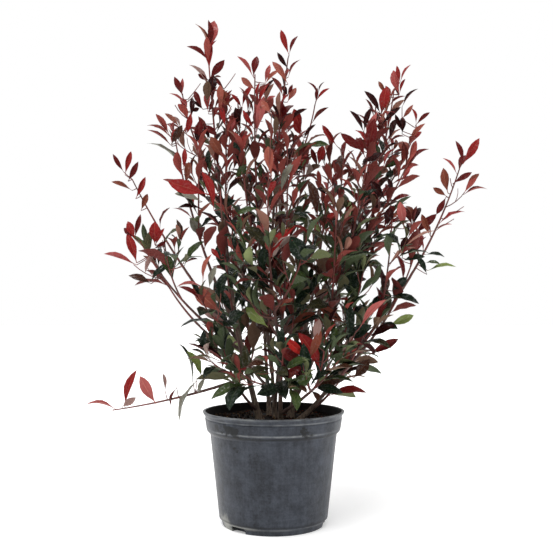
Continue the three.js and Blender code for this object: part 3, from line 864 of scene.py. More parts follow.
# %% Boughs and masses of the centre stem
grown("top_centre", "centre", 1, (29, 0, 924), -8, 0.2, 0.9, [
    (0.4, (84, 24, 838)),
    (0.1, (56, 60, 720)),
])
grown("centre_left", "centre", 0.4, (-36, -40, 880), 20, 0.3, 1, [
    (0.3, (-72, 20, 846)),
    (0.1, (-60, -84, 724)),
])
grown("centre_low", "centre", 0.1, (26, -84, 720), 30, 0.26, 1, [
    (0.1, (80, -84, 590)),
    (0.05, (-20, -60, 470)),
    (0.02, (38, -64, 410)),
])

# %% Boughs and masses of the right stem
grown("top_right", "right", 1, (242, 16, 862), 30, 0.24, 0.9, [
    (0.3, (200, -30, 826)),
    (0.4, (290, 30, 790)),
    (0.02, (262, -40, 710)),
])
grown("back_right", "right", 0.82, (128, 190, 784), 24, 0.28, 0.9, [(0.2, (216, 146, 690))])
grown("front_right", "right", 0.14, (176, -120, 726), 26, 0.34, 1, [(0.15, (112, -168, 600))])
grown("centre_right", "right", 0.36, (146, 66, 750), 20, 0.28, 1, [(0.1, (200, 20, 580))])

# %% Boughs and masses of the outer right stem
grown("far_right", "outer_right", 1, (376, 10, 716), 24, 0.46, 0.6, [(0.2, (288, 60, 604))])
grown("middle_right", "outer_right", 0.7, (272, -64, 536), 20, 0.34, 0.7, [(0.1, (220, -110, 590))])
grown("low_right", "outer_right", 0.4, (184, -60, 412), 14, 0.34, 0.9)
grown("right_skirt", "outer_right", 0.1, (146, 0, 306), 8, 0.36, 1, [(0.1, (180, 76, 400))])

# %% Boughs and masses of the front stem
grown("low_front_right", "front", 0.12, (150, -140, 384), 16, 0.34, 1, [
    (0.1, (90, -170, 350)),
    (0.1, (60, -150, 304)),
    (0.2, (170, -90, 500)),
])
grown("front_centre", "front", 1, (-10, -166, 640), 18, 0.2, 1, [
    (0.1, (60, -186, 560)),
    (0.02, (-40, -150, 440)),
])
grown("low_front", "front", 0.5, (16, -220, 350), 14, 0.3, 1, [
    (0.05, (-60, -184, 316)),
    (0.05, (24, -190, 296)),
])

# %% Boughs and masses of the back stem
grown("back_left", "back", 1, (-130, 168, 756), 20, 0.24, 0.8, [(0.1, (-96, 200, 640))])
grown("back_centre", "back", 0.82, (10, 186, 832), 26, 0.26, 0.9, [(0.2, (70, 150, 742))])
grown("low_back_left", "back", 0.3, (-116, 204, 436), 20, 0.3, 1, [
    (0.1, (-56, 220, 530)),
    (0.02, (-40, 150, 390)),
])
grown("low_back_right", "back", 0.14, (110, 200, 440), 20, 0.3, 1, [(0.1, (66, 226, 500))])
SHOOT = {"bough_radius": 2.9, "radius_per_metre": 1.4, "tip_radius": 1.2}
FORK = {"reach": 0.6, "radius_share": 0.85, "bow": 12}
print("masses:", len(masses))


# %% Curves
def unit(vector):
    return vector / np.linalg.norm(vector)


class Bow:
    """A curve whose middle hangs a little below and outside the straight line between its ends."""

    def __init__(self, start, end, bow):
        start, end = np.array(start, float), np.array(end, float)
        chord = end - start
        rise = chord[2] / np.linalg.norm(chord)
        flat = np.array([chord[0], chord[1], 0.0])
        out = flat / max(np.linalg.norm(flat), 1e-6)
        hang = out * rise - UP * math.sqrt(1 - rise * rise)
        self.start, self.middle, self.end = start, (start + end) / 2 + hang * 2 * bow, end
        steps = np.diff(self.point(np.linspace(0, 1, 201)), axis=0)
        self.length = float(np.linalg.norm(steps, axis=1).sum())

    def point(self, share):
        share = np.asarray(share, float)[..., None]
        early, late = (1 - share) ** 2, share**2
        return self.start * early + self.middle * 2 * share * (1 - share) + self.end * late

    def heading(self, share):
        first, last = self.middle - self.start, self.end - self.middle
        return unit(first * (1 - share) + last * share)


def frames(curve, start, end, steps):
    """Places along a curve, each (share, point, heading, two normals that don't twist)."""
    side = np.array([0.0, 1.0, 0.0])
    made = []
    for i in range(steps + 1):
        share = between(start, end, i / steps)
        along = curve.heading(share)
        side = unit(side - along * (side @ along))
        made.append((share, curve.point(share), along, side, np.cross(side, along)))
    return made


FRAME_STEPS = 4


def frame_at(curve, share):
    """The frame at one place, carried up from the foot as in the part's source."""
    return frames(curve, 0, share, FRAME_STEPS)[-1]


class Shoot:
    """One limb of the crown: start is the share of it that is bare, order 0 a shoot, 1 and 2 twigs."""

    def __init__(self, keys, curve, start, thick, thin, order):
        self.keys, self.curve, self.start, self.order = keys, curve, start, order
        self.thick, self.thin = thick, thin
        self.length = curve.length
        self.tip = curve.point(1)
        self.covered = 0  # how far down from its tip its landmark leaves reach

    def radius(self, share):
        return between(self.thick, self.thin, share)


# %% The curve of every limb
stem_curves = {}
for name, stem in STEMS.items():
    foot = (*stem["foot"], SOIL["top"] + GAP)
    stem_curves[name] = Bow(foot, stem["top"], stem["bow"])

for mass in masses:
    curve = Bow(stem_curves[mass["stem"]].point(mass["at"]), mass["tip"], mass["bow"])
    thick = SHOOT["bough_radius"] + SHOOT["radius_per_metre"] * curve.length / 1000
    leader = Shoot((mass["index"], 0), curve, mass["bare"], thick, SHOOT["tip_radius"], 0)
    mass["shoots"] = [leader]
    for key, (fork_at, fork_tip) in enumerate(mass["forks"], start=1):
        root = between(mass["bare"], 1, fork_at * FORK["reach"])
        branch = Bow(curve.point(root), fork_tip, FORK["bow"])
        thick = leader.radius(root) * FORK["radius_share"]
        mass["shoots"].append(Shoot((mass["index"], key), branch, 0, thick, SHOOT["tip_radius"], 0))
print("shoots:", sum(len(mass["shoots"]) for mass in masses))

# %% [markdown]
# A stem could be a plain tapered tube, but bark is what the eye looks for at the foot of a shrub.
# So each tube is a fine grid bent round the curve, with relief worked into its vertices:
# lengthwise ridges, a ring of swelling at each old leaf scar, and lobes where the roots flare.
# An attribute holds how old the wood is, so that one finish can go from grey to red.

# %% Bark relief
RIDGE = {"depth": 0.11, "length": 30, "round": 2.4}
PIMPLE = {"depth": 0.05, "size": 2.2}
NODE_RING = {"spacing": 23, "stray": 0.2, "slant": 5, "height": 0.1, "half": 2.4}
ROOT_LOBES = {"count": 4, "share": 0.35}


def bark_relief(turn, along, radius, key):
    """How far the bark stands out of the smooth limb, in millimetres."""
    x, y = math.cos(turn), math.sin(turn)
    spot = (x * RIDGE["round"], y * RIDGE["round"], along / RIDGE["length"] + 9 * key)
    ridge = noise.fractal(Vector(spot), 0.9, 2.1, 3)
    pimple = noise.noise(Vector((x * radius, y * radius, along)) / PIMPLE["size"])
    spacing = NODE_RING["spacing"] * (1 + NODE_RING["stray"] * math.sin(key))
    off = (along + NODE_RING["slant"] * math.sin(turn + key)) % spacing - spacing / 2
    ring = math.exp(-((off / NODE_RING["half"]) ** 2))
    share = RIDGE["depth"] * ridge + PIMPLE["depth"] * pimple + NODE_RING["height"] * ring
    return radius * share


WOOD = {"young": 1.2, "ageing": 4.6}  # the radius of the youngest wood, and what the oldest has more


def old_wood(radius):
    """0 on the thinnest twigs and 1 on the stems."""
    return min(1, max(0, (radius - WOOD["young"]) / WOOD["ageing"]))


def tube(bm, curve, start, end, radius_at, sides, steps, relief_at=None):
    """Bends a grid into a closed, tapering tube round a curve."""
    age = bm.verts.layers.float.get("age") or bm.verts.layers.float.new("age")
    grid = bmesh.ops.create_grid(bm, x_segments=sides, y_segments=steps, size=0.5)["verts"]
    path = frames(curve, start, end, steps)
    for vertex in grid:
        turn = (vertex.co.x + 0.5) * TURN
        share, point, _, side, cross = path[round((vertex.co.y + 0.5) * steps)]
        radius = radius_at(share)
        vertex[age] = old_wood(radius)
        if relief_at:
            radius += relief_at(turn, share, radius)
        spot = point + (side * math.cos(turn) + cross * math.sin(turn)) * radius
        vertex.co = Vector(spot * MM)
    bmesh.ops.remove_doubles(bm, verts=grid, dist=1e-7)
    bmesh.ops.holes_fill(bm, edges=[edge for edge in bm.edges if edge.is_boundary])


def bark_mesh(bm, name):
    bmesh.ops.recalc_face_normals(bm, faces=bm.faces[:])
    return mesh_from(bm, name, crease=70)


# %% Stems
STEM_GRID = {"sides": 26, "ring": 2.4}  # faces round a stem, and millimetres from ring to ring
BURIED = 10  # how far a stem reaches into the compost
stem_pieces = []
for key, (name, stem) in enumerate(STEMS.items()):
    curve = stem_curves[name]

    def stem_radius(share, stem=stem, curve=curve):
        flare = FLARE["share"] * math.exp(min(0, -share * curve.length / FLARE["height"]))
        return stem["radius"] * (between(1, STEM_TAPER, share) + flare)

    def stem_relief(turn, share, radius, key=key, curve=curve):
        along = share * curve.length
        flare = math.exp(min(0, -along / FLARE["height"]))
        lobes = ROOT_LOBES["share"] * flare * math.sin(ROOT_LOBES["count"] * turn + key)
        return bark_relief(turn, along, radius, key) + radius * lobes * 0.5

    bm = bmesh.new()
    steps = round(curve.length / STEM_GRID["ring"])
    tube(bm, curve, -BURIED / curve.length, 1, stem_radius, STEM_GRID["sides"], steps, stem_relief)
    stem_pieces.append(show(bark_mesh(bm, f"stem_{name}_bark")))
    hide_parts(f"stem_{name}")
print("stem faces:", sum(len(piece.data.polygons) for piece in stem_pieces))

# %% [markdown]
# A bough is the bare foot of a shoot. It is a slimmer tube of the same bark, swollen where it
# leaves its stem, and the boughs of one stem are joined into one piece.

# %% Boughs
BOUGH_GRID = {"sides": 14, "ring": 3.6}
COLLAR_SWELL = {"share": 0.35, "length": 9}  # the thickened ring where a bough leaves its stem
bough_pieces = []
for stem in STEMS:
    bm = bmesh.new()
    mine = [mass for mass in masses if mass["stem"] == stem]
    for mass in mine:
        leader = mass["shoots"][0]
        clear = STEMS[stem]["radius"] * STEM_TAPER

        def bough_radius(share, leader=leader, clear=clear):
            past = max(0, share * leader.length - clear)
            swell = COLLAR_SWELL["share"] * math.exp(-past / COLLAR_SWELL["length"])
            return leader.radius(share) * (1 + swell)

        def bough_relief(turn, share, radius, leader=leader, key=mass["index"] + 10):
            return bark_relief(turn, share * leader.length, radius, key)

        steps = max(6, round(leader.length * leader.start / BOUGH_GRID["ring"]))
        tube(bm, leader.curve, 0, leader.start, bough_radius, BOUGH_GRID["sides"], steps, bough_relief)
    bough_pieces.append(show(bark_mesh(bm, f"boughs_of_{stem}")))
    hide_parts(*[f"bough_{mass['name']}" for mass in mine])
print("bough faces:", sum(len(piece.data.polygons) for piece in bough_pieces))

# %% [markdown]
# The rule for room is the source's too. A mass's own space is what lies nearer to its own shoots
# than to any other mass's, clear of the bare limbs and of the pot.
# Life-size leaves need less room than the solids' large ones, so neighbours may share a thin border.

# %% Room
PIECES = 12  # straight pieces that stand for one shoot
CLEAR = {"border": 14, "limb": 2, "shoot": 3.5, "leaf": 5, "rim": 20, "rim_reach": 90}


def straight_pieces(curve, start, end, radius_at):
    points = frames(curve, start, end, PIECES)
    return [(a[1], b[1], radius_at(b[0])) for a, b in zip(points, points[1:])]


class Lines:
    """Many straight pieces, for distances from points to each of them."""

    def __init__(self, pieces):
        self.start = np.array([piece[0] for piece in pieces])
        self.step = np.array([piece[1] for piece in pieces]) - self.start
        self.radius = np.array([piece[2] for piece in pieces])
        self.square = np.maximum((self.step**2).sum(1), 1e-9)

    def distances(self, points):
        away = points[:, None, :] - self.start
        share = np.clip((away * self.step).sum(2) / self.square, 0, 1)
        return np.linalg.norm(away - share[..., None] * self.step, axis=2)


# %% The room that each mass has
shoot_pieces, owners = [], []
for mass in masses:
    for shoot in mass["shoots"]:
        made = straight_pieces(shoot.curve, shoot.start, 1, shoot.radius)
        shoot_pieces += made
        owners += [mass["index"]] * len(made)
limb_pieces = []
for name, stem in STEMS.items():
    limb_pieces += straight_pieces(stem_curves[name], 0, 1, lambda share, stem=stem: stem["radius"])
for mass in masses:
    leader = mass["shoots"][0]
    limb_pieces += straight_pieces(leader.curve, 0, leader.start, leader.radius)
shoot_lines, limb_lines, owners = Lines(shoot_pieces), Lines(limb_pieces), np.array(owners)
print("straight pieces of shoots and of bare limbs:", len(shoot_pieces), len(limb_pieces))


def off_pot(points):
    """Nothing lies on the pot or hangs down before it."""
    low = points[:, 2] < POT_HEIGHT + CLEAR["rim"]
    near = np.hypot(points[:, 0], points[:, 1]) < LIP["radius"] + CLEAR["rim_reach"]
    return not (low & near).any()


def in_space(mass, points):
    if not off_pot(points):
        return False
    if (limb_lines.distances(points) < limb_lines.radius + CLEAR["limb"]).any():
        return False
    distances = shoot_lines.distances(points)
    mine = owners == mass["index"]
    own = distances[:, mine].min(1)
    other = distances[:, ~mine].min(1)
    return bool((other > own - CLEAR["border"]).all())


def apart(mass, points):
    """Leaves keep off one another and off their own shoots."""
    distances = shoot_lines.distances(points)[:, owners == mass["index"]]
    if (distances < CLEAR["shoot"]).any():
        return False
    if not mass["taken"]:
        return True
    taken = np.array(mass["taken"])
    return bool((np.linalg.norm(taken[None] - points[:, None], axis=2) > CLEAR["leaf"]).all())


# %% [markdown]
# A photinia leaf is a pointed ellipse on a short red stalk. It is folded along its midrib like
# a shallow gutter, its tip curls back, and its underside is paler than its face.
# Flat cards would vanish edge-on, so each mould is a thin closed shell of about fifty faces:
# two grids that share their margin, the upper with a strip for the midrib.
# Ten moulds, five young and folded, five old and flatter, are enough that none looks repeated.

# %% The outline of a leaf
LEAF_ROWS = (0, 0.1, 0.2, 0.36, 0.54, 0.72, 0.88, 1)
UPPER_COLUMNS = (-1, -0.5, -0.07, 0.07, 0.5, 1)
UNDER_COLUMNS = (-1, 0, 1)
UPPER, RIB, UNDER = 0, 1, 2  # the kinds of face
STALK = {"share": 0.1, "half": 0.011}
KEEL = 0.014
OUTLINES = {
    "young": {"width": 0.3, "foot": 1.3, "tip": 0.92},
    "old": {"width": 0.36, "foot": 1.15, "tip": 0.9},
}
BENDS = {  # the least and most of each mould's fold and recurve, in degrees, and of its wave
    "young": ((22, 42), (10, 55), (0, 0.16)),
    "old": ((10, 28), (15, 60), (0.1, 0.3)),
}
SWAY = 0.07  # the most that a leaf's tip turns aside


def leaf_half_width(row, outline):
    """Half a leaf's width at a row, as a share of its length."""
    if row <= STALK["share"]:
        return STALK["half"]
    blade = (row - STALK["share"]) / (1 - STALK["share"])
    widest = outline["foot"] / (outline["foot"] + outline["tip"])
    most = widest ** outline["foot"] * (1 - widest) ** outline["tip"]
    here = blade ** outline["foot"] * (1 - blade) ** outline["tip"]
    return max(STALK["half"] * (1 - blade), 0.5 * outline["width"] * here / most)


print("half a leaf's width at its middle:", round(leaf_half_width(0.5, OUTLINES["old"]), 3))


# %% A mould
def leaf_mould(outline, fold, recurve, sway, wave):
    """A leaf one unit long: fold and recurve in degrees, sway sideways, wave at the margin."""
    bm = bmesh.new()
    for columns, drop in ((UPPER_COLUMNS, 0), (UNDER_COLUMNS, KEEL)):
        before = set(bm.faces)
        across, rows = len(columns) - 1, len(LEAF_ROWS) - 1
        grid = bmesh.ops.create_grid(bm, x_segments=across, y_segments=rows, size=0.5)["verts"]
        for face in set(bm.faces) - before:
            middle = face.calc_center_median()
            stalk = middle.y < -0.5 + 1 / rows
            rib = not drop and abs(middle.x) < 0.5 / across
            face.material_index = RIB if stalk or rib else (UNDER if drop else UPPER)
            if drop:
                face.normal_flip()
        for vertex in grid:
            column = columns[round((vertex.co.x + 0.5) * across)]
            row = LEAF_ROWS[round((vertex.co.y + 0.5) * rows)]
            half = leaf_half_width(row, outline)
            bend = math.radians(recurve) * row**1.6
            lean = math.radians(fold) * min(1, row / 0.3)
            ripple = wave * half * abs(column) * math.sin(3 * TURN * row + sway * 40)
            crown = 0.16 * half * (1 - (2 * abs(column) - 1) ** 2) * (drop == 0)
            up = abs(column) * half * math.sin(lean) + ripple + crown
            up -= drop * (column == 0) * (1 - row**4)
            out = column * half * math.cos(lean) + sway * row * row
            along = row * (1 - (bend * bend) / 10)
            vertex.co = Vector((out, along - up * math.sin(bend) * 0.6, up - row * bend * 0.4))
    bmesh.ops.remove_doubles(bm, verts=bm.verts[:], dist=1e-5)
    bmesh.ops.holes_fill(bm, edges=[edge for edge in bm.edges if edge.is_boundary])
    return Stamp(bm)


# %% Ten moulds
MOULDS = 5  # of each age
moulds = {"young": [], "old": []}
for i in range(MOULDS):
    for kind, first_draw, side in (("young", 1, 1), ("old", 4, -1)):
        sway = side * between(-SWAY, SWAY, chance(50, i, 0))
        bends = enumerate(BENDS[kind], start=first_draw)
        fold, recurve, wave = [between(least, most, chance(50, i, k)) for k, (least, most) in bends]
        moulds[kind].append(leaf_mould(OUTLINES[kind], fold, recurve, sway, wave))
print("faces of a leaf:", len(moulds["old"][0].sizes))

# %% [markdown]
# Leaves grow at buds that turn by the golden angle. They stand close to the shoot at its tip and
# open out lower down, and each turns its face to the light.
# The youngest are at the tips, small and folded; the oldest are low, large and flat.

# %% How leaves stand
GOLDEN_ANGLE = math.radians(137.5)
BUD = {"spacing": 16, "twig_spacing": 13, "first": 12}
LEAF = {
    "longest": 62,
    "shortest": 42,
    "low_share": 1.38,  # how much longer it is below low_height
    "low_height": 545,
    "twig_loss": 0.12,  # how much shorter it is on a twig, and twice that on a fine one
    "angle": math.radians(52),
    "tip_angle": math.radians(23),
    "angle_range": (0.8, 1.25),
    "stray": 1.2,  # radians round its shoot
    "roll": 0.8,
    "lift": 0.3,
    "sunk": 0.6,
}
TIP_LEAF = {
    "angles": (0.14, 0.36),  # radians from its shoot
    "next_pair": 0.16,  # and more in each pair further down, which is turned by pair_turn
    "pair_turn": 1.4,
    "second_loss": 0.14,  # how much shorter the second of a pair is
    "twig_loss": 0.1,
}
TIP_LEAVES = (4, 3, 2)  # on a shoot, a twig and a fine twig
TRIES = 5
TRY_TURN = 1.3  # radians from one try to the next
TRY_LOSS = 0.05  # how much shorter the leaf gets at each
SAMPLE_ROWS = ((0.3, 0.8), (0.55, 0.9), (0.78, 0.7), (1, 0))  # how far along a blade, and how wide
leaves = []


def outward(frame_here, turn):
    return frame_here[3] * math.cos(turn) + frame_here[4] * math.sin(turn)


def leaf_axes(frame_here, turn, angle, roll):
    """The directions along, across and out of the face of a leaf at a bud."""
    heading, out = frame_here[2], outward(frame_here, turn)
    along = heading * math.cos(angle) + out * math.sin(angle)
    along = unit(along + UP * LEAF["lift"] * math.sin(angle))
    face = heading + UP * 0.6
    face = unit(face - along * (face @ along))
    across = np.cross(along, face)
    face = face * math.cos(roll) + across * math.sin(roll)
    return along, np.cross(along, face), face


def leaf_samples(root, along, across, length, width):
    """Points over a blade, for the tests of room."""
    half = 0.5 * length * width
    made = []
    for share, wide in SAMPLE_ROWS:
        middle = root + along * share * length
        made += [middle - across * half * wide, middle, middle + across * half * wide]
    return np.array(made)


# %% [markdown]
# A real shrub isn't even. Some shoots are nearly bare, so they keep a share of their leaves, by
# mass and by the number of the shoot in it. Deep in the crown buds get little light, and fewer of
# them keep a leaf or a twig. That is what opens the crown to the sky where the photograph does.

# %% Bare and shaded shoots
SPARSE = {
    ("top_left", 1): 0.4,
    ("upper_left", 0): 0.65,
    ("upper_left", 1): 0.65,
    ("high_left", 0): 0.5,
    ("middle_left", 0): 0.5,
    ("middle_left", 1): 0.5,
    ("low_left", 0): 0.6,
    ("front_left", 0): 0.85,
    ("drooping_left", 0): 0.25,
    ("far_right", 0): 0.6,
    ("far_right", 1): 0.6,
}
SPRAY_SHARE = 0.45  # the share that is kept beside a landmark spray at a shoot's tip
SHADE = {"reach": 140, "low": 480, "high": 640, "share": 0.32}


def in_shade(point):
    return math.hypot(point[0], point[1]) < SHADE["reach"] and SHADE["low"] < point[2] < SHADE["high"]


# %% The leaves of a shoot
def leaves_on(mass, shoot):
    """The leaves of one shoot or twig: some at its tip, then one at each bud that has room."""
    keys = shoot.keys
    full = mass["full"] * SPARSE.get((mass["name"], keys[1]), 1)
    spacing = BUD["spacing"] if shoot.order == 0 else BUD["twig_spacing"]

    def fit(share, turn, angle, size, key, always):
        here = frame_at(shoot.curve, share)
        radius = shoot.radius(share)
        roll = between(-LEAF["roll"], LEAF["roll"], chance(*keys, key, 4))
        for i in range(TRIES):
            small = 1 - TRY_LOSS * i
            here_turn = turn + TRY_TURN * i
            along, across, face = leaf_axes(here, here_turn, angle * small, roll)
            root = here[1] + outward(here, here_turn) * radius * LEAF["sunk"]
            samples = leaf_samples(root, along, across, size * small, OUTLINES["old"]["width"])
            if not off_pot(samples):
                continue
            if not always and not (in_space(mass, samples) and apart(mass, samples)):
                continue
            mass["taken"] += list(samples)
            made = {"mass": mass, "shoot": shoot, "share": share, "key": key, "root": root}
            leaves.append({**made, "axes": (across, along, face), "length": size * small})
            return

    tip_turn = chance(*keys, 98) * TURN
    posed = any(np.linalg.norm(root - shoot.tip) < SPRAY_REACH for root in spray_feet)
    for k in range(0 if posed else TIP_LEAVES[shoot.order]):
        size = between(LEAF["shortest"], LEAF["longest"], chance(*keys, 99, k))
        size *= 1 - TIP_LEAF["second_loss"] * (k % 2) - TIP_LEAF["twig_loss"] * shoot.order
        angle = between(*TIP_LEAF["angles"], chance(*keys, 97, k)) + TIP_LEAF["next_pair"] * (k // 2)
        back = 1 - (1 + 3 * k) / shoot.length
        turn = tip_turn + k * math.pi + (k // 2) * TIP_LEAF["pair_turn"]
        fit(back, turn, angle, size, 90 + k, True)
    leafy = shoot.length * (1 - shoot.start)
    count = max(1, int((leafy - BUD["first"]) / spacing))
    for bud in range(count):
        share = shoot.start + (BUD["first"] + bud * spacing) / leafy * (1 - shoot.start)
        beside_spray = (1 - share) * shoot.length < shoot.covered
        kept = full * (SPRAY_SHARE if beside_spray else 1)
        kept *= SHADE["share"] if in_shade(shoot.curve.point(share)) else 1
        if chance(*keys, bud, 14) > kept:
            continue
        turn = bud * GOLDEN_ANGLE + chance(*keys, bud, 1) * LEAF["stray"]
        angle = between(LEAF["angle"], LEAF["tip_angle"], share)
        angle *= between(*LEAF["angle_range"], chance(*keys, bud, 2))
        low = shoot.curve.point(share)[2] < LEAF["low_height"]
        size = between(LEAF["longest"], LEAF["shortest"], chance(*keys, bud, 3))
        size *= (LEAF["low_share"] if low else 1) * (1 - LEAF["twig_loss"] * shoot.order)
        fit(share, turn, angle, size, bud, False)


# %% [markdown]
# Side twigs carry most of the leaves. Each leaves its shoot at a slant and lifts to the light, and
# where it's long enough it has fine twigs of its own. The first turn that has room is taken.

# %% Growing twigs
TWIG = {
    "spacing": 42,
    "low_spacing": 30,
    "first": 60,
    "longest": 110,
    "shortest": 36,
    "length_range": (0.75, 1.1),
    "between_share": 0.62,  # every other one is this much shorter
    "angle": math.radians(40),
    "turn": 2.4,
    "lift": 0.25,
    "bow_share": 0.08,
    "tip_margin": 0.12,
    "bare": 0.16,
    "radius": 1.15,
    "taper": 0.7,
    "try_loss": 0.1,
}
TWIG_SAMPLES = np.array([0.35, 0.55, 0.75, 1])
FINE_TWIG = {"spacing": 26, "first": 22, "longest": 44, "shortest": 24, "radius": 0.8}
twigs = []


def grow_twig(mass, parent, share, key, length, radius, order):
    """Tries a few turns for a twig, and keeps the first that has room."""
    here = frame_at(parent.curve, share)
    for k in range(TRIES):
        turn = key * TWIG["turn"] + k * TRY_TURN + chance(*parent.keys, key, 5) * TURN
        aim = here[2] * math.cos(TWIG["angle"]) + outward(here, turn) * math.sin(TWIG["angle"])
        aim = unit(aim + UP * TWIG["lift"])
        reach = length * (1 - TWIG["try_loss"] * k)
        curve = Bow(here[1], here[1] + aim * reach, reach * TWIG["bow_share"])
        samples = curve.point(TWIG_SAMPLES)
        if not in_space(mass, samples) or not apart(mass, samples[1:]):
            continue
        made = Shoot((*parent.keys, 40 + key), curve, TWIG["bare"], radius, radius * TWIG["taper"], order)
        mass["taken"] += list(samples)
        twigs.append((mass, made))
        return made
    return None


def twigs_on(mass, shoot):
    """The twigs of one shoot, the fine twigs on them, and their leaves."""
    leafy = shoot.length * (1 - shoot.start)
    spacing = TWIG["low_spacing"] if shoot.tip[2] < LEAF["low_height"] else TWIG["spacing"]
    count = int((leafy * (1 - TWIG["tip_margin"]) - TWIG["first"]) / spacing) + 1
    for i in range(max(0, count)):
        if chance(*shoot.keys, i, 12) > 2 * mass["full"] - 1:
            continue
        along = (TWIG["first"] + i * spacing) / leafy
        share = shoot.start + along * (1 - shoot.start)
        if in_shade(shoot.curve.point(share)) and chance(*shoot.keys, i, 15) > SHADE["share"]:
            continue
        length = between(TWIG["longest"], TWIG["shortest"], along)
        length *= between(*TWIG["length_range"], chance(*shoot.keys, i, 6))
        length *= TWIG["between_share"] if i % 2 else 1
        twig = grow_twig(mass, shoot, share, i, length, TWIG["radius"], 1)
        if not twig:
            continue
        leaves_on(mass, twig)
        fine = int((twig.length - FINE_TWIG["first"]) / FINE_TWIG["spacing"])
        for k in range(fine):
            at = (FINE_TWIG["first"] + k * FINE_TWIG["spacing"]) / twig.length
            short = between(FINE_TWIG["longest"], FINE_TWIG["shortest"], chance(*twig.keys, k, 7))
            finer = grow_twig(mass, twig, at, k, short, FINE_TWIG["radius"], 2)
            if finer:
                leaves_on(mass, finer)


# %% [markdown]
# Some leaves are landmarks: the pairs at the tall tips, the big red ones that face the viewer, and
# the two that stand up on the drooping shoot. They could be left to chance, but then the plant
# would be any photinia. So each is posed by where its foot and tip are seen and how wide it looks,
# and a short twig joins it to the nearest shoot. The other leaves then fill in round them.

# %% Landmark sprays of the upper left
# Places and lengths are in millimetres as seen on the upright plane through the pot's axis, and
# leans in degrees to the right of upright. A spray's number in the list is its key for chance.
# Of the tints, the grey-pink and the grey-green ones are painted sheen on glossy leaves.
SPRAYS = {}


def spray(name, x, z, lean, *leaves):
    """A landmark twig that ends at x, z. Each leaf: its tint, how far below the end it leaves, its
    lean, its length and its seen width as a share of that. A bare one is a twig without a leaf."""
    SPRAYS[name] = (x, z, lean, leaves)


spray(
    "left_summit", -129, 940, -2,
    ("maroon", 0, -1, 57, 0.24),
    ("rose", 0, 15, 56, 0.46),
    ("copper", 0, -27, 56, 0.1),
    ("crimson", 8, 32, 30, 0.2),
    ("maroon", 22, -55, 50, 0.24),
    ("crimson", 40, -4, 56, 0.36),
    ("maroon", 58, 32, 46, 0.46),
    ("maroon", 62, -60, 26, 0.4),
    ("ash", 76, -44, 60, 0.16),
    ("wine", 90, 10, 38, 0.55),
    ("maroon", 96, -10, 34, 0.3),
)
spray("left_shoulder", -182, 850, -18, ("maroon", 0, -19, 38, 0.46), ("rose", 0, -2, 32, 0.3))
spray("left_needles", -172, 828, -20, ("rose", 0, -55, 42, 0.12), ("wine", 24, 6, 38, 0.35))
spray("left_bare_twigs", -170, 842, 0, ("bare", 0, 38, 40, 0), ("bare", 4, 44, 18, 0))
spray("summit_bare_twig", -97, 864, 0, ("bare", 0, 36, 36, 0), ("maroon", 4, -40, 30, 0.3))
spray(
    "left_slivers", -204, 752, -30,
    ("bronze", 0, 31, 42, 0.4),
    ("maroon", 4, -57, 56, 0.07),
    ("sage", 4, -14, 34, 0.12),
    ("crimson", 4, 14, 36, 0.14),
)
spray("left_long_sliver", -184, 711, -30, ("sage", 0, -60, 80, 0.07), ("crimson", 10, 6, 40, 0.35))
spray("left_hanging_red", -164, 819, -20, ("crimson", 0, 187, 42, 0.36), ("wine", 2, 60, 16, 0.7))
spray("left_flags", -130, 652, -20, ("crimson", 0, -72, 80, 0.4), ("crimson", 34, -18, 78, 0.24))
spray("left_grey_blade", -142, 638, -10, ("sage", 0, -73, 54, 0.28), ("wine", 14, -88, 48, 0.2))
spray("left_cup", -138, 566, -10, ("sage", 0, -34, 46, 0.5), ("wine", 8, 30, 30, 0.4))
spray("left_twin", -105, 528, 0, ("crimson", 0, 10, 30, 0.36), ("crimson", 6, -40, 28, 0.4))
spray("left_green_blade", -178, 510, -20, ("mid_green", 0, 41, 60, 0.22))
spray("left_low_blade", -246, 478, -30, ("dark_green", 0, 51, 55, 0.24), ("bronze", 4, -67, 45, 0.32))
spray("left_coral_blade", -141, 477, -10, ("coral", 0, 17, 56, 0.18), ("rose", 8, -92, 52, 0.1))
spray("left_hanging_grey", -226, 550, -20, ("ash", 0, -153, 58, 0.2))

# %% Landmark sprays of the upper middle
spray(
    "centre_left_summit", -40, 886, -10,
    ("rose", 0, -38, 50, 0.2),
    ("maroon", 0, 4, 40, 0.45),
    ("coral", 26, -52, 36, 0.42),
    ("crimson", 54, 4, 42, 0.18),
    ("crimson", 58, 24, 48, 0.22),
)
spray(
    "centre_pair", -17, 874, 4,
    ("rose", 0, 11, 36, 0.36),
    ("coral", 2, 43, 38, 0.26),
    ("wine", 22, 34, 34, 0.22),
)
spray("centre_pennant", -34, 790, 0, ("pink", 12, 11, 68, 0.3), ("rose", 20, -6, 62, 0.26))
spray("centre_flags", -4, 812, 0, ("coral", 0, -38, 32, 0.45), ("coral", 122, -10, 56, 0.42))
spray(
    "centre_summit", 31, 932, 2,
    ("crimson", 2, -20, 50, 0.3),
    ("maroon", 0, 26, 38, 0.22),
    ("wine", 30, -38, 38, 0.32),
    ("maroon", 46, 36, 40, 0.1),
    ("coral", 60, -36, 52, 0.28),
    ("maroon", 84, 20, 24, 0.4),
    ("wine", 84, -20, 22, 0.5),
    ("coral", 96, 26, 32, 0.46),
)
spray(
    "centre_right_summit", 84, 838, 18,
    ("maroon", 0, 6, 26, 0.32),
    ("crimson", 0, 47, 36, 0.2),
    ("maroon", -12, -36, 32, 0.16),
    ("wine", -16, 28, 26, 0.08),
    ("wine", 82, 38, 39, 0.22),
)

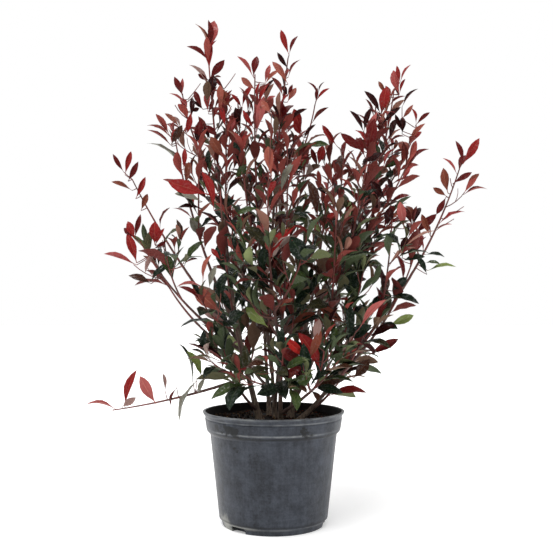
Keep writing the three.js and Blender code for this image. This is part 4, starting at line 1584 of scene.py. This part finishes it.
# %% Landmark sprays of the far left and the low middle
spray(
    "far_left_tip", -298, 697, -24,
    ("maroon", 0, -35, 40, 0.3),
    ("crimson", 6, 12, 46, 0.32),
    ("maroon", 20, 31, 42, 0.38),
    ("copper", 40, -65, 42, 0.28),
    ("crimson", 58, 27, 45, 0.34),
    ("copper", 84, 21, 34, 0.4),
)
spray(
    "left_fan", -276, 566, -4,
    ("crimson", 2, -24, 36, 0.5),
    ("maroon", 0, 10, 46, 0.3),
    ("maroon", 0, -52, 28, 0.5),
    ("crimson", 50, -14, 60, 0.4),
    ("rose", 54, -73, 66, 0.2),
)
spray(
    "left_fan_twin", -236, 552, 0,
    ("crimson", 0, -5, 44, 0.62),
    ("crimson", 2, 26, 38, 0.28),
    ("maroon", 6, 60, 24, 0.4),
)
spray("crown_pennant", -47, 546, 10, ("pink", 0, 28, 60, 0.35), ("dark_green", 20, -40, 50, 0.4))
spray("coral_shield", -103, 416, -20, ("coral", 0, -49, 74, 0.46))
spray("coral_bill", 3, 428, 20, ("coral", 0, 68, 38, 0.4))
spray("lime_shield", -11, 388, -20, ("lime", 0, -48, 56, 0.42))
spray("scarlet_flag", 71, 323, 0, ("scarlet", 0, -49, 66, 0.3), ("copper", 0, 22, 60, 0.34))
spray("copper_flag", 144, 394, 10, ("copper", 0, -55, 64, 0.34), ("dark_green", 30, 64, 60, 0.44))
spray("pink_flag", 172, 388, 40, ("pink", 0, 46, 72, 0.26))
spray("maroon_flag", 188, 331, 50, ("maroon", 0, 57, 66, 0.32))
spray("low_bronze", 160, 287, 30, ("bronze", 0, 43, 46, 0.5))
spray("upright_green", 154, 442, 10, ("dark_green", 0, 0, 60, 0.55))
spray("hanging_green", 31, 558, 20, ("dark_green", 0, 139, 58, 0.46))
spray("pale_left", -128, 466, 0, ("sage", 0, 22, 44, 0.3))
spray("lime_right", 230, 392, 60, ("lime", 0, 69, 50, 0.36))

# %% Landmark sprays of the right
spray(
    "right_summit", 252, 876, 3,
    ("rose", 0, 32, 39, 0.14),
    ("crimson", 0, -12, 32, 0.3),
    ("rose", 25, -20, 47, 0.45),
    ("crimson", 23, 20, 30, 0.25),
    ("wine", 31, -14, 25, 0.3),
)
spray("right_hook", 224, 850, 0, ("copper", 0, -25, 30, 0.35))
spray(
    "right_blades", 214, 809, -5,
    ("crimson", 0, 10, 57, 0.42),
    ("wine", -3, -36, 54, 0.25),
    ("wine", 18, 45, 49, 0.28),
)
spray(
    "right_arc", 256, 827, 0,
    ("wine", 0, 41, 46, 0.13),
    ("coral", 24, 41, 34, 0.36),
    ("wine", 54, 6, 32, 0.5),
    ("wine", 48, -27, 34, 0.35),
)
spray(
    "right_fork", 284, 793, 20,
    ("crimson", 0, -15, 31, 0.24),
    ("maroon", 3, 46, 36, 0.28),
    ("coral", 42, 36, 49, 0.26),
)
spray("right_inner", 180, 777, -10, ("wine", 2, -33, 50, 0.22), ("wine", 0, 18, 50, 0.26))
spray("right_pennant_high", 188, 745, 10, ("pink", 0, 11, 68, 0.28), ("maroon", 18, 12, 74, 0.36))
spray(
    "far_right_tip", 377, 713, 27,
    ("maroon", 0, -15, 46, 0.28),
    ("crimson", 0, 36, 58, 0.4),
    ("rose", 24, -42, 42, 0.14),
    ("maroon", 44, 55, 42, 0.36),
    ("copper", 65, -16, 48, 0.45),
    ("copper", 72, -53, 30, 0.5),
    ("maroon", 73, -154, 38, 0.42),
)
spray("right_straws", 340, 604, 30, ("bare", 0, 58, 46, 0), ("bare", 20, 60, 34, 0))
spray("right_pennant", 260, 584, 0, ("pink", 0, -9, 52, 0.42))
spray("right_low_wing", 312, 570, 30, ("copper", 0, -24, 44, 0.36))

# %% Landmark sprays of the drooping shoot
spray(
    "drooping", -296, 231, -110,
    ("rose", -18, -82, 60, 0.1),
    ("crimson", 0, 15, 72, 0.27),
    ("ash", -6, 51, 32, 0.5),
    ("ash", 86, -10, 34, 0.26),
    ("maroon", 110, -166, 39, 0.14),
    ("dark_green", 144, -21, 78, 0.08),
    ("sage", 153, -159, 88, 0.1),
    ("lime", 163, -28, 59, 0.26),
    ("sage", 172, -156, 34, 0.3),
)
spray("drooping_pink", -234, 236, -110, ("pink", 0, -36, 60, 0.46))

# %% Landmark leaves within the crown
spray("left_rose_bud", -130, 817, 0, ("rose", 0, -9, 38, 0.4), ("maroon", 4, 20, 30, 0.3))
spray("left_maroon_bud", -141, 822, 0, ("maroon", 0, -27, 38, 0.36), ("wine", 0, -45, 26, 0.3))
spray("left_maroon_shield", -154, 761, 0, ("maroon", 0, 17, 40, 0.5), ("wine", 8, 12, 38, 0.5))
spray("left_hanging_maroon", -140, 793, 0, ("maroon", 0, 128, 34, 0.4), ("wine", 0, 152, 30, 0.35))
spray("summit_copper", -84, 822, 0, ("copper", 0, -31, 48, 0.34), ("copper", -6, -62, 26, 0.3))
spray("crown_bill", -39, 783, 0, ("crimson", 0, -34, 42, 0.3))
spray("centre_shield", 17, 777, 0, ("maroon", 0, 0, 60, 0.5), ("crimson", -60, 20, 22, 0.3))
spray("centre_right_shield", 56, 777, 0, ("crimson", 0, -19, 46, 0.5), ("crimson", 9, -28, 32, 0.5))
spray("centre_right_wing", 29, 795, 0, ("wine", 0, 56, 45, 0.25))
spray("right_crimson_bill", 126, 749, 0, ("crimson", 0, -37, 48, 0.3))
spray("coral_bud", -104, 824, 0, ("coral", 0, -6, 44, 0.4), ("maroon", 0, 30, 34, 0.3))
spray("crimson_streak", -95, 785, 0, ("crimson", 0, -14, 42, 0.3))
spray("wine_shield", -65, 785, 0, ("wine", 0, -18, 40, 0.45))
spray("crown_vee", -63, 826, 0, ("crimson", 0, 22, 46, 0.28), ("crimson", 2, -38, 34, 0.26))
spray("copper_shield", -97, 721, 0, ("copper", 0, -32, 52, 0.45))
spray("high_green_shield", -77, 685, 0, ("mid_green", 0, 42, 33, 0.5))
spray("dark_bill", -71, 641, 0, ("dark_green", 0, -100, 38, 0.5))
spray("green_bill", -29, 625, 0, ("mid_green", 0, -104, 43, 0.3))
spray("ash_blade", 15, 655, 0, ("sage", 0, 26, 64, 0.24))
spray("green_bills", 35, 601, 0, ("mid_green", 0, 97, 40, 0.3), ("dark_green", -16, 110, 38, 0.24))
spray("maroon_bill", 73, 570, 0, ("maroon", 0, -56, 36, 0.24))
spray("broad_green", 69, 518, 0, ("dark_green", 0, -40, 58, 0.6))
spray("bronze_blade", 85, 609, 0, ("bronze", 0, -12, 70, 0.3))
spray("high_green_bill", 63, 748, 0, ("mid_green", 0, 86, 44, 0.3))
spray("high_crimson", 89, 709, 0, ("crimson", 0, 12, 40, 0.45), ("maroon", 4, -20, 40, 0.3))

# %% Landmark leaves low in the crown
spray("copper_bill", 27, 388, 0, ("copper", 0, 64, 62, 0.26))
spray("ash_flag", 81, 357, 0, ("ash", 0, 11, 46, 0.4))
spray("low_maroon_fan", 64, 316, 0, ("maroon", 0, -68, 56, 0.5), ("maroon", 2, -122, 52, 0.4))
spray("ash_bill", -93, 398, 0, ("ash", 0, -66, 50, 0.3))
spray("low_bronze_bill", 140, 402, 0, ("bronze", 0, -59, 56, 0.36))
spray("low_ash_blade", 134, 335, 0, ("ash", 0, 35, 42, 0.35))

# %% Landmark leaves within the right of the crown
spray("right_maroon_bill", 182, 737, 0, ("maroon", 0, -55, 58, 0.36), ("maroon", 10, -20, 40, 0.4))
spray("right_wine_bill", 176, 713, 0, ("wine", 0, 56, 44, 0.36))
spray("right_crimson_shield", 204, 673, 0, ("crimson", 0, -22, 42, 0.55))
spray("right_green_bill", 220, 705, 0, ("mid_green", 0, 60, 30, 0.4), ("dark_green", 22, 50, 24, 0.6))
spray("right_wine_blade", 224, 641, 0, ("wine", 0, -40, 46, 0.4))
spray("right_wine_shield", 226, 590, 0, ("wine", 0, 8, 36, 0.6), ("copper", -10, 50, 27, 0.4))
spray("right_broad_green", 152, 526, 0, ("dark_green", 0, -4, 54, 0.6))
spray("right_low_blades", 302, 533, 0, ("dark_green", 0, 98, 37, 0.2), ("mid_green", 17, 92, 28, 0.25))
spray("right_low_straw", 307, 501, 10, ("lime", 0, 83, 54, 0.15), ("dark_green", 8, -30, 40, 0.3))
spray("right_low_greens", 236, 460, 30, ("dark_green", 0, 47, 38, 0.5), ("dark_green", 10, 106, 58, 0.25))
spray("right_wine_flag", 256, 526, 0, ("wine", 0, 8, 42, 0.5), ("dark_green", 6, 80, 44, 0.3))
spray("right_maroon_flag", 280, 572, 30, ("maroon", 0, 43, 58, 0.36))
print("landmark sprays:", len(SPRAYS), "with leaves:", sum(len(made[3]) for made in SPRAYS.values()))

# %% [markdown]
# A spray is placed as the camera sees it, so its place is carried from the plane through the pot's
# axis along the line of sight to the depth of the shoot that it grows from.

# %% Where a spray is seen
SPRAY_DEPTH = 6  # how far a landmark spray stands in front of its shoot
STALK_REACH = 30  # a landmark leaf seen as near as this to its shoot grows on its own stalk
STALK_DEPTH = 3  # and this far in front of it
SHORTEST_LINK = 2
SPRAY_COVER = 12  # how far past its lowest leaf a spray at a tip keeps others away
SPRAY_REACH = 26  # a shoot's tip with a landmark leaf as near as this needs no others
DEPTH_COST = 0.12  # per millimetre that a shoot lies further back
FIRST_SHARE = 0.1  # no spray leaves a shoot nearer to its foot
LINK = {"bow": 0.5, "radius": 1.0, "tip_radius": 0.75}
LEAN_BACK = 12  # how far at most a posed leaf's tip lies before or behind its foot
OLD_TINTS = ("dark_green", "mid_green", "lime", "sage", "bronze", "olive")
FINE_POINT = 1.06  # a posed leaf is longer than it looks, because its fine point is lost to the eye
spray_feet = []


def seen(x, z, depth):
    """The place at a depth that is seen at x, z on the plane through the pot's axis."""
    reach = 1 - depth * MM / EYE.y
    return np.array([x * reach, depth, EYE.z / MM + (z - EYE.z / MM) * reach])


def leaning(lean):
    """The sideways and upward shares of a direction that leans to the right of upright."""
    return np.array([math.sin(math.radians(lean)), math.cos(math.radians(lean))])


def nearest_shoot(x, z):
    """The shoot that is seen nearest to x, z, and how far along it that is."""
    spots = []
    for mass in masses:
        for shoot in mass["shoots"]:
            for share in np.linspace(max(shoot.start, FIRST_SHARE), 1, 24):
                point = shoot.curve.point(share)
                near = np.linalg.norm(seen(x, z, point[1]) - point)
                spots.append((near + DEPTH_COST * point[1], len(spots), mass, shoot, share))
    return min(spots)[2:]


def beside(shoot, x, z):
    """The place on a shoot that is seen nearest to x, z: how near, its share and the place."""
    spots = []
    for share in np.linspace(max(shoot.start, FIRST_SHARE), 1, 60):
        point = shoot.curve.point(share)
        spots.append((np.linalg.norm(seen(x, z, point[1]) - point), share, tuple(point)))
    near, share, point = min(spots)
    return near, share, np.array(point)


# %% Growing a spray
def link(mass, key, start, end):
    """A fine straight twig, where its ends are far enough apart for one."""
    if np.linalg.norm(end - start) > SHORTEST_LINK:
        keys, curve = (mass["index"], 200 + key), Bow(start, end, LINK["bow"])
        twigs.append((mass, Shoot(keys, curve, 0, LINK["radius"], LINK["tip_radius"], 2)))


def grow_spray(key, x, z, lean, leaves_here):
    """Poses the leaves of a spray. Those seen close beside the shoot grow on short stalks of their
    own, and a landmark twig bears the others."""
    down = max(leaf[1] for leaf in leaves_here)
    low_x, low_z = np.array([x, z]) - leaning(lean) * down
    mass, shoot, share = nearest_shoot(low_x, low_z)
    feet = [np.array([x, z]) - leaning(lean) * leaf[1] for leaf in leaves_here]
    roots, off = [], []
    for foot in feet:
        near, at, point = beside(shoot, *foot)
        roots.append(seen(*foot, point[1] - STALK_DEPTH))
        if near < STALK_REACH:
            link(mass, key, point, roots[-1])
        else:
            off.append(len(roots) - 1)
    if off:
        low, high = (pick(off, key=lambda k: leaves_here[k][1]) for pick in (max, min))
        _, share, point = beside(shoot, *feet[low])
        depth = point[1] - SPRAY_DEPTH
        for k in off:
            roots[k] = seen(*feet[k], depth)
        link(mass, key, point, roots[low])
        link(mass, key, roots[low], roots[high])
    if np.linalg.norm(seen(x, z, shoot.tip[1]) - shoot.tip) < SPRAY_REACH:
        shoot.covered = max(shoot.covered, down + SPRAY_COVER)
    for k, (tint, _, leaf_lean, length, wide) in enumerate(leaves_here):
        root = roots[k]
        tip = feet[k] + leaning(leaf_lean) * length
        if tint == "bare":
            link(mass, key, root, seen(*tip, root[1]))
            continue
        lean_back = between(-LEAN_BACK, LEAN_BACK, chance(key, k, 60))
        end = seen(*tip, root[1] + lean_back)
        along = unit(end - root)
        view = unit(root - np.array(EYE) / MM)
        flat = unit(np.cross(view, along))
        kind = "old" if tint in OLD_TINTS else "young"
        full = max(wide, OUTLINES[kind]["width"])
        face_up = 1 if along[0] < 0 else -1  # a leaf seen partly edge-on turns its face up
        turn = math.acos(wide / full) * face_up
        across = flat * math.cos(turn) + np.cross(along, flat) * math.sin(turn)
        size = np.linalg.norm(end - root)
        spray_feet.append(root)
        mass["taken"] += list(leaf_samples(root, along, across, size, full))
        made = {"mass": mass, "shoot": shoot, "share": share, "key": 300 + 20 * key + k, "root": root}
        made.update({"axes": (across, along, np.cross(across, along)), "length": size})
        leaves.append({**made, "tint": tint, "kind": kind, "wide": full / OUTLINES[kind]["width"]})


# %% Growing the crown
for mass in masses:
    mass["taken"] = []
for key, made in enumerate(SPRAYS.values()):
    grow_spray(key, *made)
for mass in masses:
    for shoot in mass["shoots"]:
        leaves_on(mass, shoot)
    for shoot in mass["shoots"]:
        twigs_on(mass, shoot)
print("leaves:", len(leaves), "twigs:", len(twigs))

# %% [markdown]
# The shoots and twigs are one kind of thing, so those of each stem are joined into one mesh.
# Fine tubes of five to seven sides are enough at their size.

# %% Twigs
SHOOT_GRID = {"sides": 7, "ring": 11}
TWIG_GRID = {"sides": 5, "ring": 14}
twig_pieces = []
for stem in STEMS:
    bm = bmesh.new()
    mine = [mass for mass in masses if mass["stem"] == stem]
    limbs = [(shoot, SHOOT_GRID) for mass in mine for shoot in mass["shoots"]]
    limbs += [(twig, TWIG_GRID) for mass, twig in twigs if mass["stem"] == stem]
    for limb, grid in limbs:
        start = limb.start if limb.order == 0 and limb.start else 0
        steps = max(3, round(limb.length * (1 - start) / grid["ring"]))
        tube(bm, limb.curve, start, 1, limb.radius, grid["sides"], steps)
    twig_pieces.append(show(bark_mesh(bm, f"twigs_of_{stem}")))
    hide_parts(*[f"foliage_{mass['name']}" for mass in mine])
print("twig faces:", sum(len(piece.data.polygons) for piece in twig_pieces))

# %% [markdown]
# Wood goes from grey-brown and rough at the foot to smooth dull red at the tips.
# The finish reads the age attribute for that, and noise in object space for its mottling.

# %% Bark finish
WOOD_TINTS = {  # the two that are mottled together at each age
    "young": ((120, 46, 42), (86, 46, 38)),
    "middle": ((58, 38, 33), (74, 52, 43)),
    "old": ((78, 64, 54), (124, 108, 92)),
}


def bark_finish(name):
    made = Finish(name, linear(90, 70, 60), 0.8)
    age = Value(made, made.add("ShaderNodeAttribute", {"attribute_name": "age"}).outputs["Fac"])
    fine = made.noise(made.place((1, 1, 0.22)), 420.0, detail=4.0, roughness=0.6)
    patches = made.noise(made.place(), 60.0, detail=3.0)
    masks = {"young": patches.ramp(0.35, 0.65), "middle": patches.ramp(0.4, 0.6)}
    masks["old"] = fine.ramp(0.35, 0.65)
    wood = {}
    for name, (first, second) in WOOD_TINTS.items():
        wood[name] = made.mix(masks[name], linear(*first), linear(*second))
    young = made.mix(age.ramp(0.05, 0.45), wood["young"], wood["middle"])
    made.colour(made.mix(age.ramp(0.45, 0.85), young, wood["old"]))
    made.set(Roughness=0.55 + age * 0.3)
    made.relief(fine, 0.0006, 0.7)
    return made


# %% Barked pieces
stem_bark = bark_finish("stem_bark")
shoot_bark = bark_finish("shoot_bark")
for piece in stem_pieces:
    piece.data.materials.append(stem_bark.material)
    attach(piece, "root")
for piece in bough_pieces + twig_pieces:
    piece.data.materials.append(shoot_bark.material)
    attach(piece, "root")
print("barked pieces:", len(stem_pieces + bough_pieces + twig_pieces))

# %% [markdown]
# A photinia's new leaves are red and turn bronze and then green as they age.
# So a leaf's tint is dealt out by its spray: high and outer sprays are red, low and inner ones
# green, and within a spray the tip is the reddest. Each tint is a plain colour of its own, with a
# paler underside and midrib. Two tints, the grey-pink one and the grey-green one, are painted
# sheen: plain colours that stand for the pale reflection on glossy leaves. One even gloss would
# look like plastic, so noise wears the waxy coat into patches, and only those glint.

# %% Leaf tints
# each tint: the face, the midrib and stalk, and the underside
TINTS = {
    "scarlet": ((152, 32, 28), (160, 62, 50), (164, 86, 78)),
    "crimson": ((130, 34, 33), (144, 60, 50), (150, 72, 65)),
    "pink": ((160, 84, 80), (174, 106, 97), (170, 106, 100)),
    "coral": ((142, 76, 64), (158, 96, 80), (158, 102, 88)),
    # painted sheen: a grey-pink colour that stands for the pale reflection on glossy red leaves
    "rose": ((146, 66, 64), (156, 88, 80), (160, 100, 94)),
    "ash": ((138, 108, 102), (150, 122, 112), (154, 132, 124)),
    "maroon": ((88, 24, 24), (108, 45, 38), (128, 64, 58)),
    "wine": ((39, 12, 12), (68, 28, 25), (100, 48, 44)),
    "copper": ((114, 60, 46), (132, 78, 60), (146, 104, 90)),
    "bronze": ((56, 31, 21), (76, 48, 33), (104, 80, 64)),
    "olive": ((42, 41, 23), (64, 60, 35), (92, 90, 66)),
    "dark_green": ((17, 29, 18), (38, 50, 31), (74, 84, 60)),
    "mid_green": ((48, 62, 28), (74, 84, 46), (104, 110, 76)),
    "lime": ((112, 126, 68), (136, 144, 90), (138, 148, 100)),
    # painted sheen: a grey-green colour that stands for the pale reflection on glossy dark green leaves
    "sage": ((112, 110, 98), (132, 126, 108), (134, 134, 120)),
}
RED_TINTS = ("scarlet", "crimson", "pink", "coral", "rose", "ash", "maroon", "wine", "copper")

# %% Leaf finishes
SHINE = {"red": 0.04, "green": 0.08}  # the red leaves have less of a shine than the green ones
COAT = {"red": 0.45, "green": 1.0}  # and less of the waxy coat
COAT_PATCHES = {"scale": 210.0, "roughness": 0.3}
# each side of a leaf: its roughness, and how many times thinner its coat is than the face's
SIDES = {"leaf": (0.4, 1), "midrib": (0.5, 2), "underside": (0.6, 3)}


def family_of(tint):
    return "red" if tint in RED_TINTS else "green"


def leaf_finish(name, colour, roughness, shine, coat):
    made = Finish(name, linear(*colour), roughness, **{"Specular IOR Level": shine})
    grain = made.noise(made.place(), COAT_PATCHES["scale"], detail=4.0, roughness=0.65)
    made.set(**{"Coat Weight": grain.ramp(0.48, 0.62) * coat, "Coat Roughness": COAT_PATCHES["roughness"]})
    made.relief(grain, 0.003, 0.6)
    return made


tint_finishes = {}
for tint, colours in TINTS.items():
    family = family_of(tint)
    tint_finishes[tint] = []
    for colour, (side, (roughness, thinner)) in zip(colours, SIDES.items()):
        made = leaf_finish(f"{tint}_{side}", colour, roughness, SHINE[family], COAT[family] / thinner)
        tint_finishes[tint].append(made)
print("leaf finishes:", sum(len(made) for made in tint_finishes.values()))

# %% Dealing out the tints
RED_HEIGHT = {"none": 430, "full": 860}
RED_REACH = {"none": 140, "full": 340}
LADDER = (
    (0.84, ("crimson", "rose", "maroon", "ash", "coral", "crimson", "wine", "maroon")),
    (0.62, ("maroon", "crimson", "wine", "rose", "copper", "wine", "maroon", "crimson")),
    (0.46, ("wine", "maroon", "copper", "wine", "bronze", "maroon", "crimson", "maroon")),
    (0.28, ("bronze", "olive", "wine", "dark_green", "maroon", "dark_green", "wine", "dark_green")),
    (-9, ("dark_green", "dark_green", "olive", "mid_green", "dark_green", "bronze", "dark_green", "wine")),
)
# Odd leaves grow low and near the middle. Each kind's share is what its draw has to pass.
# the grey-pink tint among the odd leaves is painted sheen
ODD_LEAVES = (("crimson", 0.967), ("lime", 0.961), ("ash", 0.936), ("mid_green", 0.9))
ODD_PLACES = {"below": 720, "within": 200}
REDNESS = {"height": 0.62, "reach": 0.3, "stray": 0.3}  # what makes a spray red
LEAF_REDNESS = {"along": 0.45, "middle": 0.6, "stray": 0.2}  # and a leaf redder than its spray


def spray_redness(shoot):
    """How red a spray is, from 0 to 1, by how high and how far out its tip is."""

    def share(value, none, full):
        return min(1, max(0, (value - none) / (full - none)))

    height = share(shoot.tip[2], **RED_HEIGHT)
    reach = share(math.hypot(shoot.tip[0], shoot.tip[1]), **RED_REACH)
    stray = REDNESS["stray"] * (chance(*shoot.keys, 70) - 0.5)
    return REDNESS["height"] * height + REDNESS["reach"] * reach + stray


def leaf_tint(leaf):
    if "tint" in leaf:
        return leaf["tint"]
    shoot, key = leaf["shoot"], leaf["key"]
    odd = chance(*shoot.keys, key, 9)
    x, y, z = leaf["root"]
    if z < ODD_PLACES["below"] and math.hypot(x, y) < ODD_PLACES["within"]:
        for tint, least in ODD_LEAVES:
            if odd > least:
                return tint
    red = spray_redness(shoot) + LEAF_REDNESS["along"] * (leaf["share"] - LEAF_REDNESS["middle"])
    red += LEAF_REDNESS["stray"] * (chance(*shoot.keys, key, 8) - 0.5)
    tints = next(tints for least, tints in LADDER if red > least)
    return tints[int(chance(*shoot.keys, key, 13) * len(tints))]


# %% Placing a leaf
YOUNG_SHARE = 0.75  # past this share of a shoot its leaves are young
WIDTH_RANGE = (0.86, 1.14)


def place_leaf(leaf, first):
    """A copy of a mould for one leaf. first is the number of its tint's first material.
    A posed leaf is turned so that its curled tip, not its foot, points where it should."""
    shoot, key = leaf["shoot"], leaf["key"]
    kind = leaf.get("kind", "young" if leaf["share"] > YOUNG_SHARE or shoot.order == 2 else "old")
    mould = moulds[kind][int(chance(*shoot.keys, key, 10) * MOULDS)]
    wide = leaf.get("wide", between(*WIDTH_RANGE, chance(*shoot.keys, key, 11)))
    across, along, face = leaf["axes"]
    size = leaf["length"] * MM
    broad = across * wide * size
    if "kind" in leaf:
        forward, drop = mould.tip[1:]
        reach = math.hypot(forward, drop)
        size *= FINE_POINT / reach
        along, face = (along * forward - face * drop) / reach, (along * drop + face * forward) / reach
    turn = np.column_stack([broad, along * size, face * size])
    return mould, turn, leaf["root"] * MM, [first, first + 1, first + 2]


# %% Leaf pieces
counts = {}
for stem in STEMS:
    for family in SHINE:
        tints = [tint for tint in TINTS if family_of(tint) == family]
        copies = []
        for leaf in leaves:
            tint = leaf_tint(leaf)
            if leaf["mass"]["stem"] == stem and tint in tints:
                copies.append(place_leaf(leaf, 3 * tints.index(tint)))
                counts[tint] = counts.get(tint, 0) + 1
        finishes = [finish for tint in tints for finish in tint_finishes[tint]]
        piece = show(joined(f"{family}_leaves_of_{stem}", copies, crease=75), *finishes)
        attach(piece, "root")
        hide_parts(*[f"foliage_{mass['name']}" for mass in masses if mass["stem"] == stem])
print("leaves by tint:", counts)

# %% [markdown]
# Last, the box of the imported solids and the box of this dressed part are printed side by side.

# %% Size and finish
boxes = {"cad": CAD_BOX, "visual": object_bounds()}
for name, (low, high) in boxes.items():
    print(name, "box:", [round(b - a, 3) for a, b in zip(low, high)], "m")
